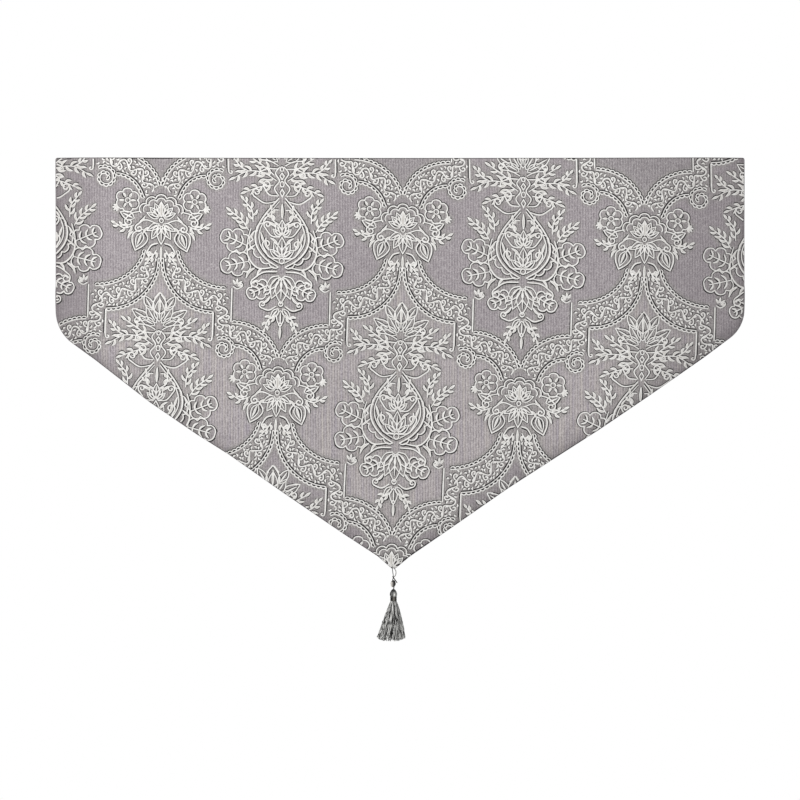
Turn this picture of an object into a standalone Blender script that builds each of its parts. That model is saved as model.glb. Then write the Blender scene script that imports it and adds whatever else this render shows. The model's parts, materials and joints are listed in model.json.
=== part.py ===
"""A pointed valance of jacquard cloth with a tassel at its tip, as it hangs.

Metres, +Z up. The origin is the middle of the top edge, halfway through the cloth.
+X is to the right of someone who faces the valance, and its face looks along -Y.
"""
import math

import bmesh
import bpy
import numpy as np
from mathutils import Matrix, Vector

MM = 0.001

# The cloth, cut from one width, with its shoulders and its tip
WIDTH = 1.270
HALF = WIDTH / 2
CLOTH_THICK = 2.4 * MM
RIM_ROUND = 0.6 * MM
TOP_RISE = 1.5 * MM
TOP_CORNER = 4.0 * MM
TIP_X = -12.0 * MM
TIP_Z = -755.0 * MM
TIP_HALF = 3.5 * MM

# A shoulder is round: corner_z is where its upright side and its slope would cross
SHOULDERS = {
    "left": {"side": -1, "corner_z": -318.0 * MM, "radius": 71.0 * MM},
    "right": {"side": 1, "corner_z": -311.0 * MM, "radius": 61.0 * MM},
}

# How far each slope bows out of a straight line, by its share from shoulder to tip
BOW_SHARE = (0.00, 0.12, 0.28, 0.42, 0.52, 0.68, 0.86, 0.96, 1.00)
BOW_MM = {
    "left": (0.0, 1.0, 6.5, 5.0, 1.2, 0.7, -1.3, -3.7, 0.0),
    "right": (0.0, 3.0, 3.2, 2.5, 0.1, -3.6, -3.0, -3.0, 0.0),
}

# Soft waves that start below the straight top edge, and edges that stand back
WAVE_START = 160.0 * MM
WAVES = (
    {"pitch": 640.0 * MM, "depth": 3.0 * MM, "turn": 0.5},
    {"pitch": 290.0 * MM, "depth": 1.2 * MM, "turn": 2.1},
)
SIDE_REACH = 120.0 * MM
SIDE_CURL = 9.0 * MM
EDGE_REACH = 38.0 * MM
EDGE_ROLL = 4.5 * MM
EDGE_SLOPE = math.radians(35)

# The grid that the cloth is made from
SHOULDER_STEPS = 6
SHOULDER_TURN = math.radians(60)
PLAIN_COLUMNS = 42
ROWS = 22
ROW_EVENNESS = 0.45

# The hanging cord, in mm to the right of the tip and below it
CORD_RADIUS = 0.8 * MM
LOOP_ROUTE_MM = (
    (-1.9, 1.15), (-1.8, 3.0), (-1.3, 7.0), (-0.8, 11.0), (-0.2, 14.5), (0.5, 16.0),
    (2.0, 15.2), (3.8, 12.6), (4.6, 9.0), (4.4, 5.5), (3.2, 2.8), (2.1, 1.15),
)
STEM_ROUTE_MM = ((0.4, 15.8), (-0.6, 18.6), (-1.6, 21.6), (-1.2, 25.0))
STEM_DEPTH = 0.2 * MM
TAIL_ROUTE_MM = ((-1.8, 15.0), (0.0, 17.4), (2.6, 21.0), (5.4, 24.8), (6.6, 26.6))
TAIL_RADIUS = 1.0 * MM
TAIL_DEPTH = -0.9 * MM
LINK_ROUTE_MM = ((0.4, 31.0), (0.8, 33.0), (0.7, 35.0), (0.0, 37.6))
LINK_RADIUS = 1.1 * MM
LINK_DEPTH = 0.1 * MM
ROUTE_STEPS = 3

# The knot: a core, and the turns of cord that lie on it as tilted ellipses
KNOT_X = -0.7 * MM
KNOT_DROP = 28.4 * MM
KNOT_CORE = (4.1 * MM, 3.4 * MM, 5.6 * MM)
KNOT_STRAND = 1.5 * MM
KNOT_TURNS = (
    {"across": 3.6 * MM, "high": 5.2 * MM, "tilt": 16, "twist": 37},
    {"across": 3.4 * MM, "high": 4.4 * MM, "tilt": -41, "twist": -46},
)
KNOT_STEPS = 22

# The tassel's head, neck and shoulder in mm: drop below the head's top, and radius
HEAD_DROP = 38.2 * MM
TURNED_MM = (
    (0.0, 0.0), (0.5, 1.9), (2.0, 3.3), (4.5, 4.9), (7.5, 6.1), (10.0, 6.6), (12.0, 6.2),
    (13.2, 4.6), (22.2, 4.6), (22.8, 5.8), (25.5, 7.2), (28.5, 8.0), (28.5, 0.0),
)
TURN_STEPS = 24
HEAD_RIBS = 12
RIB_SHARE = 0.05
RIB_END = 12.5 * MM
BINDING_TOP = 13.5 * MM
BINDING_BOTTOM = 21.9 * MM
BINDING_BORE = 4.95 * MM
BINDING_RADIUS = 6.1 * MM
BINDING_TURNS = 6
BINDING_DIP = 0.45 * MM

# The skirt's strands, in rings from the outside in
STRAND_RINGS = (
    {"count": 30, "reach": 1.00, "turn": 0.0},
    {"count": 24, "reach": 0.78, "turn": 0.4},
    {"count": 17, "reach": 0.56, "turn": 0.9},
    {"count": 11, "reach": 0.34, "turn": 0.2},
    {"count": 4, "reach": 0.12, "turn": 0.6},
)
ROOT_DROP = 26.5 * MM
ROOT_RADIUS = 7.2 * MM
HEM_DROP = 97.5 * MM
HEM_LIFT = 8.0 * MM
HEM_UNEVEN = 1.2 * MM
HEM_HALF_WIDTH = 24.4 * MM
HEM_HALF_DEPTH = 16.4 * MM
HEM_LEAN = -4.6 * MM
STRAND_ROOT = 0.42 * MM
STRAND_HEM = 1.55 * MM
STRAND_STEPS = 5
STRAND_BELLY = 0.05

CLOTH_COLOUR = (0.385, 0.355, 0.362)
CORD_COLOUR = (0.300, 0.280, 0.250)
TASSEL_COLOUR = (0.270, 0.255, 0.225)
BINDING_COLOUR = (0.150, 0.140, 0.120)
CLOTH_ROUGHNESS = 0.75
THREAD_ROUGHNESS = 0.45

WELD = 0.001 * MM


def clear_scene():
    for thing in list(bpy.data.objects):
        bpy.data.objects.remove(thing, do_unlink=True)


def new_collection(name):
    group = bpy.data.collections.new(name)
    bpy.context.scene.collection.children.link(group)
    return group


def move_to(thing, group):
    for owner in list(thing.users_collection):
        owner.objects.unlink(thing)
    group.objects.link(thing)


def finish(thing, colour, roughness, sharp_degrees):
    """Give a piece its own material, and shade its round faces smooth."""
    material = bpy.data.materials.new(thing.name)
    material.use_nodes = True
    shader = material.node_tree.nodes["Principled BSDF"]
    shader.inputs["Base Color"].default_value = (*colour, 1.0)
    shader.inputs["Roughness"].default_value = roughness
    shader.inputs["Metallic"].default_value = 0.0
    thing.data.materials.clear()
    thing.data.materials.append(material)
    thing.data.shade_smooth()
    thing.data.set_sharp_from_angle(angle=math.radians(sharp_degrees))


def mesh_of(source, name, group):
    """Turn a curve, or an object with modifiers, into a welded mesh object."""
    bpy.context.view_layer.update()
    graph = bpy.context.evaluated_depsgraph_get()
    mesh = bpy.data.meshes.new_from_object(source.evaluated_get(graph))
    welded = bmesh.new()
    welded.from_mesh(mesh)
    bmesh.ops.remove_doubles(welded, verts=welded.verts, dist=WELD)
    welded.to_mesh(mesh)
    welded.free()
    thing = bpy.data.objects.new(name, mesh)
    thing.matrix_world = source.matrix_world
    bpy.data.objects.remove(source, do_unlink=True)
    group.objects.link(thing)
    return thing


def add_shape(thing, other):
    """Fuse another closed shape into a piece, and keep that shape as a hidden guide."""
    other.hide_render = True
    other.display_type = "WIRE"
    join = thing.modifiers.new(other.name, "BOOLEAN")
    join.operation = "UNION"
    join.solver = "EXACT"
    join.object = other


def tube(name, routes, radii, sides, group, cyclic=False):
    """Round cords along routes of points, all in one closed mesh object."""
    curve = bpy.data.curves.new(name, "CURVE")
    curve.dimensions = "3D"
    curve.bevel_depth = 1.0
    curve.bevel_resolution = (sides - 4) // 2
    curve.use_fill_caps = not cyclic
    for route in routes:
        spline = curve.splines.new("POLY")
        spline.points.add(len(route) - 1)
        spline.use_cyclic_u = cyclic
        for point, place, radius in zip(spline.points, route, radii):
            point.co = (*place, 1.0)
            point.radius = radius
    source = bpy.data.objects.new(name + "_route", curve)
    bpy.context.scene.collection.objects.link(source)
    return mesh_of(source, name, group)


def smooth_route(rows_mm, depth=0.0):
    """A smooth curve through hand-placed rows: right of the tip, and below it."""
    rows = [Vector((right * MM, depth, -drop * MM)) for right, drop in rows_mm]
    rows = [rows[0] * 2 - rows[1]] + rows + [rows[-1] * 2 - rows[-2]]
    route = []
    for before, start, end, after in zip(rows, rows[1:], rows[2:], rows[3:]):
        for step in range(ROUTE_STEPS):
            t = step / ROUTE_STEPS
            pull = (end - before) * t + (before * 2 - start * 5 + end * 4 - after) * t ** 2
            turn = (start * 3 - before - end * 3 + after) * t ** 3
            route.append(start + (pull + turn) / 2)
    return route + [rows[-2]]


def top_edge(x):
    """The top edge rises a little to both ends, and turns its corners."""
    height = TOP_RISE * (x / HALF) ** 2
    past = abs(x) - (HALF - TOP_CORNER)
    if past > 0:
        height -= TOP_CORNER - math.sqrt(max(TOP_CORNER ** 2 - past ** 2, 0.0))
    return height


def lower_edge(x):
    """The lower outline: a round shoulder, a bowed slope and the blunt tip."""
    name = "left" if x < TIP_X else "right"
    side = SHOULDERS[name]["side"]
    corner_z = SHOULDERS[name]["corner_z"]
    radius = SHOULDERS[name]["radius"]
    tip_side = TIP_X + side * TIP_HALF
    if side * (x - tip_side) <= 0:
        return TIP_Z
    run = abs(side * HALF - tip_side)
    fall = corner_z - TIP_Z
    slope = math.atan2(fall, run)
    share = (HALF - side * x) / run
    bow = float(np.interp(share, BOW_SHARE, BOW_MM[name])) * MM / math.cos(slope)
    across = side * x - (HALF - radius)
    if across > radius * math.sin(slope):
        centre_z = corner_z + radius * math.tan((math.pi / 2 - slope) / 2)
        return centre_z - math.sqrt(max(radius ** 2 - across ** 2, 0.0)) - bow
    return corner_z - fall * share - bow


def sheet_depth(x, z):
    """How far the cloth stands behind the upright plane of its top edge."""
    hang = min(max(-z / WAVE_START, 0.0), 1.0)
    wave = sum(w["depth"] * math.sin(math.tau * x / w["pitch"] + w["turn"]) for w in WAVES)
    side = max(abs(x) - (HALF - SIDE_REACH), 0.0) / SIDE_REACH
    edge = max(1 - (z - lower_edge(x)) * math.cos(EDGE_SLOPE) / EDGE_REACH, 0.0)
    return hang * hang * (3 - 2 * hang) * wave + SIDE_CURL * side ** 2 + EDGE_ROLL * edge ** 2


def column_places():
    """Places across the cloth: close together round each shoulder, even between."""
    places = []
    inner = {}
    for name, shoulder in SHOULDERS.items():
        for step in range(SHOULDER_STEPS):
            turn = SHOULDER_TURN * step / SHOULDER_STEPS
            inner[name] = HALF - shoulder["radius"] * (1 - math.cos(turn))
            places.append(shoulder["side"] * inner[name])
    spacing = (inner["left"] + inner["right"]) / PLAIN_COLUMNS
    places += [step * spacing - inner["left"] for step in range(1, PLAIN_COLUMNS)]
    tip = [TIP_X - TIP_HALF, TIP_X + TIP_HALF]
    places = [x for x in places if min(abs(x - side) for side in tip) > spacing / 3]
    return sorted(places + tip)


def row_share(row):
    """Rows lie closer together near the top edge and near the lower edge."""
    even = row / ROWS
    eased = (1 - math.cos(math.pi * even)) / 2
    return ROW_EVENNESS * even + (1 - ROW_EVENNESS) * eased


def make_panel(group):
    """One sheet of cloth: a grid laid into the outline, waved, then made thick."""
    columns = column_places()
    last = len(columns) - 1
    bpy.ops.mesh.primitive_grid_add(x_subdivisions=last, y_subdivisions=ROWS, size=1)
    panel = bpy.context.object
    panel.name = "panel"
    for vertex in panel.data.vertices:
        x = columns[round((vertex.co.x + 0.5) * last)]
        share = row_share(round((0.5 - vertex.co.y) * ROWS))
        z = top_edge(x) + (lower_edge(x) - top_edge(x)) * share
        vertex.co = (x, sheet_depth(x, z), z)
    thicken = panel.modifiers.new("thickness", "SOLIDIFY")
    thicken.thickness = CLOTH_THICK
    thicken.offset = 0
    rounding = panel.modifiers.new("turned rim", "BEVEL")
    rounding.width = RIM_ROUND
    rounding.segments = 1
    rounding.limit_method = "ANGLE"
    rounding.angle_limit = math.radians(50)
    move_to(panel, group)
    finish(panel, CLOTH_COLOUR, CLOTH_ROUGHNESS, 60)


def knot_turn(turn):
    """One turn of the knot's cord: an ellipse, tilted in the cloth's plane and twisted."""
    lean = Matrix.Rotation(math.radians(turn["twist"]), 3, "Z")
    lean @= Matrix.Rotation(math.radians(turn["tilt"]), 3, "Y")
    centre = Vector((KNOT_X, 0, -KNOT_DROP))
    route = []
    for step in range(KNOT_STEPS):
        angle = math.tau * step / KNOT_STEPS
        flat = Vector((turn["across"] * math.cos(angle), 0, turn["high"] * math.sin(angle)))
        route.append(centre + lean @ flat)
    return route


def make_hanging_cord(group, guides, tip):
    """The cord at the tip: a loop, the knot below it, its free end, and a link."""
    loop = smooth_route(LOOP_ROUTE_MM)
    cord = tube("hanging_cord", [loop], [CORD_RADIUS] * len(loop), 8, group)
    for name, rows, radius, depth in (
        ("stem", STEM_ROUTE_MM, CORD_RADIUS, STEM_DEPTH),
        ("free_end", TAIL_ROUTE_MM, TAIL_RADIUS, TAIL_DEPTH),
        ("link", LINK_ROUTE_MM, LINK_RADIUS, LINK_DEPTH),
    ):
        route = smooth_route(rows, depth)
        add_shape(cord, tube(name, [route], [radius] * len(route), 8, guides))
    bpy.ops.mesh.primitive_uv_sphere_add(segments=16, ring_count=10, radius=1.0)
    core = bpy.context.object
    core.name = "knot_core"
    core.data.transform(Matrix.Diagonal((*KNOT_CORE, 1.0)))
    core.data.transform(Matrix.Translation((KNOT_X, 0, -KNOT_DROP)))
    move_to(core, guides)
    add_shape(cord, core)
    for number, turn in enumerate(KNOT_TURNS, start=1):
        radii = [KNOT_STRAND] * KNOT_STEPS
        ring = tube(f"knot_turn_{number}", [knot_turn(turn)], radii, 8, guides, cyclic=True)
        add_shape(cord, ring)
    for piece in [cord] + [mod.object for mod in cord.modifiers]:
        piece.location = tip
    finish(cord, CORD_COLOUR, THREAD_ROUGHNESS, 60)


def turned(name, rows, group, closed=False):
    """A turned shape from rows of drop and radius, listed from the top down."""
    mesh = bpy.data.meshes.new(name)
    joints = [(row, row + 1) for row in range(len(rows) - 1)]
    if closed:
        joints.append((len(rows) - 1, 0))
    mesh.from_pydata([(radius, 0, -drop) for drop, radius in rows], joints, [])
    source = bpy.data.objects.new(name + "_profile", mesh)
    bpy.context.scene.collection.objects.link(source)
    turn = source.modifiers.new("turn", "SCREW")
    turn.steps = TURN_STEPS
    turn.render_steps = TURN_STEPS
    turn.use_merge_vertices = True
    turn.merge_threshold = WELD
    return mesh_of(source, name, group)


def strand_route(ring, number):
    """One strand of the skirt, from its root in the shoulder down to the hem."""
    angle = math.tau * number / ring["count"] + ring["turn"]
    across = ring["reach"] * math.cos(angle)
    deep = ring["reach"] * math.sin(angle)
    uneven = HEM_UNEVEN * math.sin(5.1 * number + 9 * ring["reach"])
    hem_drop = HEM_DROP - HEM_LIFT * ring["reach"] ** 2 + uneven
    route = []
    for step in range(STRAND_STEPS):
        down = step / (STRAND_STEPS - 1)
        spread = down + STRAND_BELLY * math.sin(math.pi * down)
        half_width = ROOT_RADIUS + (HEM_HALF_WIDTH - ROOT_RADIUS) * spread
        half_depth = ROOT_RADIUS + (HEM_HALF_DEPTH - ROOT_RADIUS) * spread
        drop = ROOT_DROP + (hem_drop - ROOT_DROP) * down
        x = across * half_width + HEM_LEAN * down ** 2
        route.append(Vector((x, deep * half_depth, -drop)))
    return route


def make_tassel(group, guides, head_top):
    """The tassel: head and neck turned in one piece, ribbed, with the skirt fused on."""
    rows = [(drop * MM, radius * MM) for drop, radius in TURNED_MM]
    tassel = turned("tassel", rows, group)
    for vertex in tassel.data.vertices:
        if -vertex.co.z < RIB_END:
            angle = math.atan2(vertex.co.y, vertex.co.x)
            swell = 1 + RIB_SHARE * math.cos(HEAD_RIBS * angle)
            vertex.co.x *= swell
            vertex.co.y *= swell
    routes = [
        strand_route(ring, number) for ring in STRAND_RINGS for number in range(ring["count"])
    ]
    radii = [
        STRAND_ROOT + (STRAND_HEM - STRAND_ROOT) * step / (STRAND_STEPS - 1)
        for step in range(STRAND_STEPS)
    ]
    skirt = tube("skirt", routes, radii, 4, guides)
    add_shape(tassel, skirt)
    tassel.location = head_top
    skirt.location = head_top
    finish(tassel, TASSEL_COLOUR, THREAD_ROUGHNESS, 50)


def make_neck_binding(group, head_top):
    """Thread wound round the neck: a ring whose outside has a ridge for each turn."""
    pitch = (BINDING_BOTTOM - BINDING_TOP) / BINDING_TURNS
    rows = [(BINDING_TOP, BINDING_BORE), (BINDING_TOP, BINDING_RADIUS - BINDING_DIP)]
    for number in range(BINDING_TURNS):
        top = BINDING_TOP + number * pitch
        rows.append((top + pitch / 3, BINDING_RADIUS))
        rows.append((top + pitch * 2 / 3, BINDING_RADIUS))
        rows.append((top + pitch, BINDING_RADIUS - BINDING_DIP))
    rows.append((BINDING_BOTTOM, BINDING_BORE))
    binding = turned("neck_binding", rows, group, closed=True)
    binding.location = head_top
    finish(binding, BINDING_COLOUR, THREAD_ROUGHNESS, 60)


def main():
    clear_scene()
    valance = new_collection("ascot_valance")
    guides = new_collection("guides")
    tip = Vector((TIP_X, sheet_depth(TIP_X, TIP_Z), TIP_Z))
    head_top = tip - Vector((0, 0, HEAD_DROP))
    make_panel(valance)
    make_hanging_cord(valance, guides, tip)
    make_tassel(valance, guides, head_top)
    make_neck_binding(valance, head_top)


main()
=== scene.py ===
import json
import math

import bpy
import numpy as np
from mathutils import Matrix, Vector

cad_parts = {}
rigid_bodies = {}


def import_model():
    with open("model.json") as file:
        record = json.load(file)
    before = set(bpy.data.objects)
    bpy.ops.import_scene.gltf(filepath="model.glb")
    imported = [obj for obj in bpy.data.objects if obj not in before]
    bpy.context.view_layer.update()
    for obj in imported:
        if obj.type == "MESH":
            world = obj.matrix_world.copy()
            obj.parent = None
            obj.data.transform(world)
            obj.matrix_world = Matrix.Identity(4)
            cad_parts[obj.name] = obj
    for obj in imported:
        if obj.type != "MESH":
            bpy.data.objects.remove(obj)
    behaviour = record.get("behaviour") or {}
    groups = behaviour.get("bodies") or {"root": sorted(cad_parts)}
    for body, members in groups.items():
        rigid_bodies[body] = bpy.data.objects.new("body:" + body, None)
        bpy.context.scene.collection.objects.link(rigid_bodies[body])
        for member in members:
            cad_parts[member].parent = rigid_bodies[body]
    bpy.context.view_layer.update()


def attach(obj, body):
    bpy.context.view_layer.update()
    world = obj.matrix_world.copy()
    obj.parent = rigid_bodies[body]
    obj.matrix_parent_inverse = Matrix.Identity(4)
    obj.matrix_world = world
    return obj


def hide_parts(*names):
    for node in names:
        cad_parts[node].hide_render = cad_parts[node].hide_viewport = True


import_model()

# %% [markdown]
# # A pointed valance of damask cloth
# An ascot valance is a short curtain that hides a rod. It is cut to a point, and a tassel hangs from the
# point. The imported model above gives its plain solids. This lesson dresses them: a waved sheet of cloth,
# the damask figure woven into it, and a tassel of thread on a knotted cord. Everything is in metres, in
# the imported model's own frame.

MM = 0.001

# %% [markdown]
# ## Small helpers
# Blender's operators act on whatever is selected, so nothing may be left selected by chance. Colours are
# easiest to read off a screen, in numbers from 0 to 255, while Blender mixes light in linear numbers. One
# helper does each job.


# %% Selecting and colours
def select_only(piece):
    """Leave one object selected and active, so that the next operator acts on it alone."""
    for other in bpy.context.view_layer.objects:
        other.select_set(False)
    piece.select_set(True)
    bpy.context.view_layer.objects.active = piece


def apply_modifiers(piece):
    select_only(piece)
    for modifier in list(piece.modifiers):
        bpy.ops.object.modifier_apply(modifier=modifier.name)


def screen_colour(red, green, blue):
    """A colour as a screen shows it, turned into linear light."""
    linear = []
    for part in (red, green, blue):
        share = part / 255
        linear.append(share / 12.92 if share <= 0.04045 else ((share + 0.055) / 1.055) ** 2.4)
    return (*linear, 1.0)


print("mid grey in linear light:", screen_colour(128, 128, 128))

# %% [markdown]
# ## Camera, light and floor
# The valance is seen square on. A long lens from 3.5 m keeps its top edge straight. The room is white all
# round, as in a photo studio, and one large lamp from the upper left shows the cloth's waves and the
# raised threads.

# %% Camera
camera_data = bpy.data.cameras.new("camera")
camera_data.lens = 85.0
camera_data.sensor_width = 36.0
camera = bpy.data.objects.new("camera", camera_data)
bpy.context.scene.collection.objects.link(camera)
camera.location = (0.0, -3.474, -0.445)
camera.rotation_euler = (math.radians(90), 0.0, 0.0)
bpy.context.scene.camera = camera
print("camera at", tuple(camera.location))


# %% Lamps
def add_lamp(name, place, aim, size, power):
    """A square soft lamp that looks at a point."""
    lamp_data = bpy.data.lights.new(name, "AREA")
    lamp_data.size = size
    lamp_data.energy = power
    lamp = bpy.data.objects.new(name, lamp_data)
    bpy.context.scene.collection.objects.link(lamp)
    lamp.location = place
    lamp.rotation_euler = (Vector(aim) - Vector(place)).to_track_quat("-Z", "Y").to_euler()
    return lamp


add_lamp("key", (-2.3, -2.1, 1.7), (0.0, 0.0, -0.35), 1.2, 105.0)
add_lamp("fill", (2.6, -2.6, 0.2), (0.1, 0.0, -0.4), 1.8, 22.0)
add_lamp("back", (0.6, 2.6, 1.4), (0.0, 0.0, -0.4), 1.6, 40.0)

# %% White room
room = bpy.data.worlds.new("white_room")
bpy.context.scene.world = room
room.use_nodes = True
room_nodes = room.node_tree.nodes
room_links = room.node_tree.links
room_nodes.clear()
seen_white = room_nodes.new("ShaderNodeBackground")
seen_white.inputs["Color"].default_value = (1.0, 1.0, 1.0, 1.0)
seen_white.inputs["Strength"].default_value = 1.0
soft_light = room_nodes.new("ShaderNodeBackground")
soft_light.inputs["Color"].default_value = (0.97, 0.985, 1.0, 1.0)
soft_light.inputs["Strength"].default_value = 0.50
ray_kind = room_nodes.new("ShaderNodeLightPath")
which_one = room_nodes.new("ShaderNodeMixShader")
room_out = room_nodes.new("ShaderNodeOutputWorld")
room_links.new(ray_kind.outputs["Is Camera Ray"], which_one.inputs["Fac"])
room_links.new(soft_light.outputs[0], which_one.inputs[1])
room_links.new(seen_white.outputs[0], which_one.inputs[2])
room_links.new(which_one.outputs[0], room_out.inputs["Surface"])
bpy.context.scene.view_settings.view_transform = "Standard"
print("room light", soft_light.inputs["Strength"].default_value)

# %% Floor
floor_material = bpy.data.materials.new("pale_floor")
floor_material.use_nodes = True
floor_shader = floor_material.node_tree.nodes["Principled BSDF"]
floor_shader.inputs["Base Color"].default_value = (0.93, 0.93, 0.93, 1.0)
floor_shader.inputs["Roughness"].default_value = 0.9
bpy.ops.mesh.primitive_circle_add(vertices=96, radius=0.52, fill_type="NGON", location=(0, 0, -1.33))
floor = bpy.context.object
floor.name = "floor"
floor.data.materials.append(floor_material)
print("floor 1.33 m below the top edge")

# %% [markdown]
# ## The cloth's outline and its waves
# The cloth is straight along the top, round at both shoulders and comes down in two long slopes to a
# blunt tip. It hangs nearly flat: two slow waves pass across it, its sides stand back a little, and its
# pressed lower edge rolls back. All of that is one function of a place on the cloth, so the cloth and
# each thread on it follow the same form.

# %% Measures of the cloth
WIDTH = 1.270
HALF = WIDTH / 2
CLOTH_THICK = 2.4 * MM
TOP_RISE = 1.5 * MM
TOP_CORNER = 4.0 * MM
TIP_X = -12.0 * MM
TIP_Z = -755.0 * MM
TIP_HALF = 3.5 * MM
SHOULDERS = {
    "left": {"side": -1, "corner_z": -318.0 * MM, "radius": 71.0 * MM},
    "right": {"side": 1, "corner_z": -311.0 * MM, "radius": 61.0 * MM},
}
BOW_SHARE = (0.00, 0.12, 0.28, 0.42, 0.52, 0.68, 0.86, 0.96, 1.00)
BOW_MM = {
    "left": (0.0, 1.0, 6.5, 5.0, 1.2, 0.7, -1.3, -3.7, 0.0),
    "right": (0.0, 3.0, 3.2, 2.5, 0.1, -3.6, -3.0, -3.0, 0.0),
}
print("cloth", WIDTH, "m wide,", -TIP_Z, "m long")


# %% The two edges
def top_edge_at(x):
    """The top edge rises a little to both ends, and turns its corners."""
    height = TOP_RISE * (x / HALF) ** 2
    past = abs(x) - (HALF - TOP_CORNER)
    if past > 0:
        height -= TOP_CORNER - math.sqrt(max(TOP_CORNER ** 2 - past ** 2, 0.0))
    return height


def lower_edge_at(x):
    """The lower outline: a round shoulder, a bowed slope and the blunt tip."""
    name = "left" if x < TIP_X else "right"
    side = SHOULDERS[name]["side"]
    corner_z = SHOULDERS[name]["corner_z"]
    radius = SHOULDERS[name]["radius"]
    tip_side = TIP_X + side * TIP_HALF
    if side * (x - tip_side) <= 0:
        return TIP_Z
    run = abs(side * HALF - tip_side)
    fall = corner_z - TIP_Z
    slope = math.atan2(fall, run)
    share = (HALF - side * x) / run
    bow = float(np.interp(share, BOW_SHARE, BOW_MM[name])) * MM / math.cos(slope)
    across = side * x - (HALF - radius)
    if across > radius * math.sin(slope):
        centre_z = corner_z + radius * math.tan((math.pi / 2 - slope) / 2)
        return centre_z - math.sqrt(max(radius ** 2 - across ** 2, 0.0)) - bow
    return corner_z - fall * share - bow


EDGE_X = np.linspace(-HALF, HALF, 5081)
TOP_TABLE = np.array([top_edge_at(x) for x in EDGE_X])
LOWER_TABLE = np.array([lower_edge_at(x) for x in EDGE_X])


def top_edge(x):
    return np.interp(x, EDGE_X, TOP_TABLE)


def lower_edge(x):
    return np.interp(x, EDGE_X, LOWER_TABLE)


print("lower edge at x = 0.3:", round(float(lower_edge(0.3)), 4))

# %% Waves and creases
WAVE_START = 160 * MM
WAVES = (
    {"pitch": 640 * MM, "depth": 3.0 * MM, "turn": 0.5},
    {"pitch": 290 * MM, "depth": 1.2 * MM, "turn": 2.1},
)
SIDE_REACH = 120 * MM
SIDE_CURL = 9.0 * MM
EDGE_REACH = 38 * MM
EDGE_ROLL = 4.5 * MM
EDGE_SLOPE = math.radians(35)

# Faint creases from folding, in mm: middle, half length, half width, depth
CREASES = (
    (-355, -341, 42, 8, 0.7), (84, -341, 50, 8, 0.6), (-326, -387, 46, 8, 0.8), (110, -387, 44, 8, 0.7),
    (340, -387, 40, 8, 0.6), (-318, -483, 40, 8, 0.7), (-176, -483, 38, 7, 0.6), (318, -483, 40, 8, 0.7),
    (-323, -203, 46, 8, 0.7), (494, -12, 50, 7, 0.7), (150, -203, 48, 8, 0.5), (-80, -540, 46, 8, 0.6),
)


def sheet_depth(x, z):
    """How far the cloth stands behind the upright plane of its top edge."""
    hang = np.clip(-z / WAVE_START, 0.0, 1.0)
    wave = sum(w["depth"] * np.sin(math.tau * x / w["pitch"] + w["turn"]) for w in WAVES)
    side = np.maximum(np.abs(x) - (HALF - SIDE_REACH), 0.0) / SIDE_REACH
    edge = np.maximum(1 - (z - lower_edge(x)) * math.cos(EDGE_SLOPE) / EDGE_REACH, 0.0)
    return hang * hang * (3 - 2 * hang) * wave + SIDE_CURL * side ** 2 + EDGE_ROLL * edge ** 2


def crease_lift(x, z):
    """Low rounded ridges across the cloth, as folding leaves them."""
    lift = np.zeros_like(x)
    for middle_x, middle_z, reach, half_wide, height in CREASES:
        along = np.exp(-((x - middle_x * MM) / (reach * MM)) ** 2)
        across = (z - middle_z * MM) / (half_wide * MM)
        lift += height * MM * along * np.exp(-across ** 2)
    return lift


def face_depth(x, z):
    """The front face of the cloth."""
    return sheet_depth(x, z) - CLOTH_THICK / 2 - crease_lift(x, z)


print("the cloth's middle stands at", float(sheet_depth(np.array(0.0), np.array(-0.4))))

# %% [markdown]
# ## How a damask figure is drawn
# In damask the figure is woven: fine light threads float over the darker ground. Modelled thread by
# thread it would be far too heavy, and painted on the cloth it would be flat. So each line of the figure
# is one soft raised strand, laid down on the cloth's face. A strand is a list of points with a width at
# each one, in millimetres: right of the motif's middle line, and up. Half a motif is built and mirrored,
# as a weaver's draft is.

# %% Lines, petals and drops
STEP = 2.3


def smooth_line(points, closed=False, step=STEP):
    """A smooth line through a few points, cut into even short steps."""
    pts = np.array(points, float)
    if closed:
        pts = np.vstack([pts[-1], pts, pts[0], pts[1]])
    else:
        pts = np.vstack([2 * pts[0] - pts[1], pts, 2 * pts[-1] - pts[-2]])
    line = []
    for before, start, end, after in zip(pts, pts[1:], pts[2:], pts[3:]):
        count = max(2, int(math.ceil(np.linalg.norm(end - start) / step)))
        for number in range(count):
            t = number / count
            pull = (end - before) * t + (2 * before - 5 * start + 4 * end - after) * t * t
            line.append(start + 0.5 * (pull + (3 * start - before - 3 * end + after) * t ** 3))
    if not closed:
        line.append(pts[-2])
    return np.array(line)


def stroke(points, wide=2.5, ends=(0.6, 0.6), closed=False):
    """A line of the figure, thinner at both ends."""
    line = smooth_line(points, closed)
    if closed:
        return [(line, np.full(len(line), wide), True)]
    along = np.linspace(0, 1, len(line))
    swell = np.sin(np.pi * along) ** 0.7
    return [(line, wide * (np.interp(along, (0, 1), ends) * (1 - swell) + swell), False)]


def petal(base, tip, wide=5.0, bend=0.0):
    """A filled drop, from a narrow base to a pointed tip."""
    base = np.array(base, float)
    along = np.array(tip, float) - base
    across = np.array([-along[1], along[0]])
    line = smooth_line([base, base + along * 0.5 + across * bend, base + along])
    share = np.linspace(0, 1, len(line))
    width = wide * (0.25 + 0.75 * np.sin(np.pi * share ** 0.8))
    width[-1] = 0.15 * wide
    return [(line, width, False)]


print("a petal has", len(petal((0, 0), (10, 10))[0][0]), "points")


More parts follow.
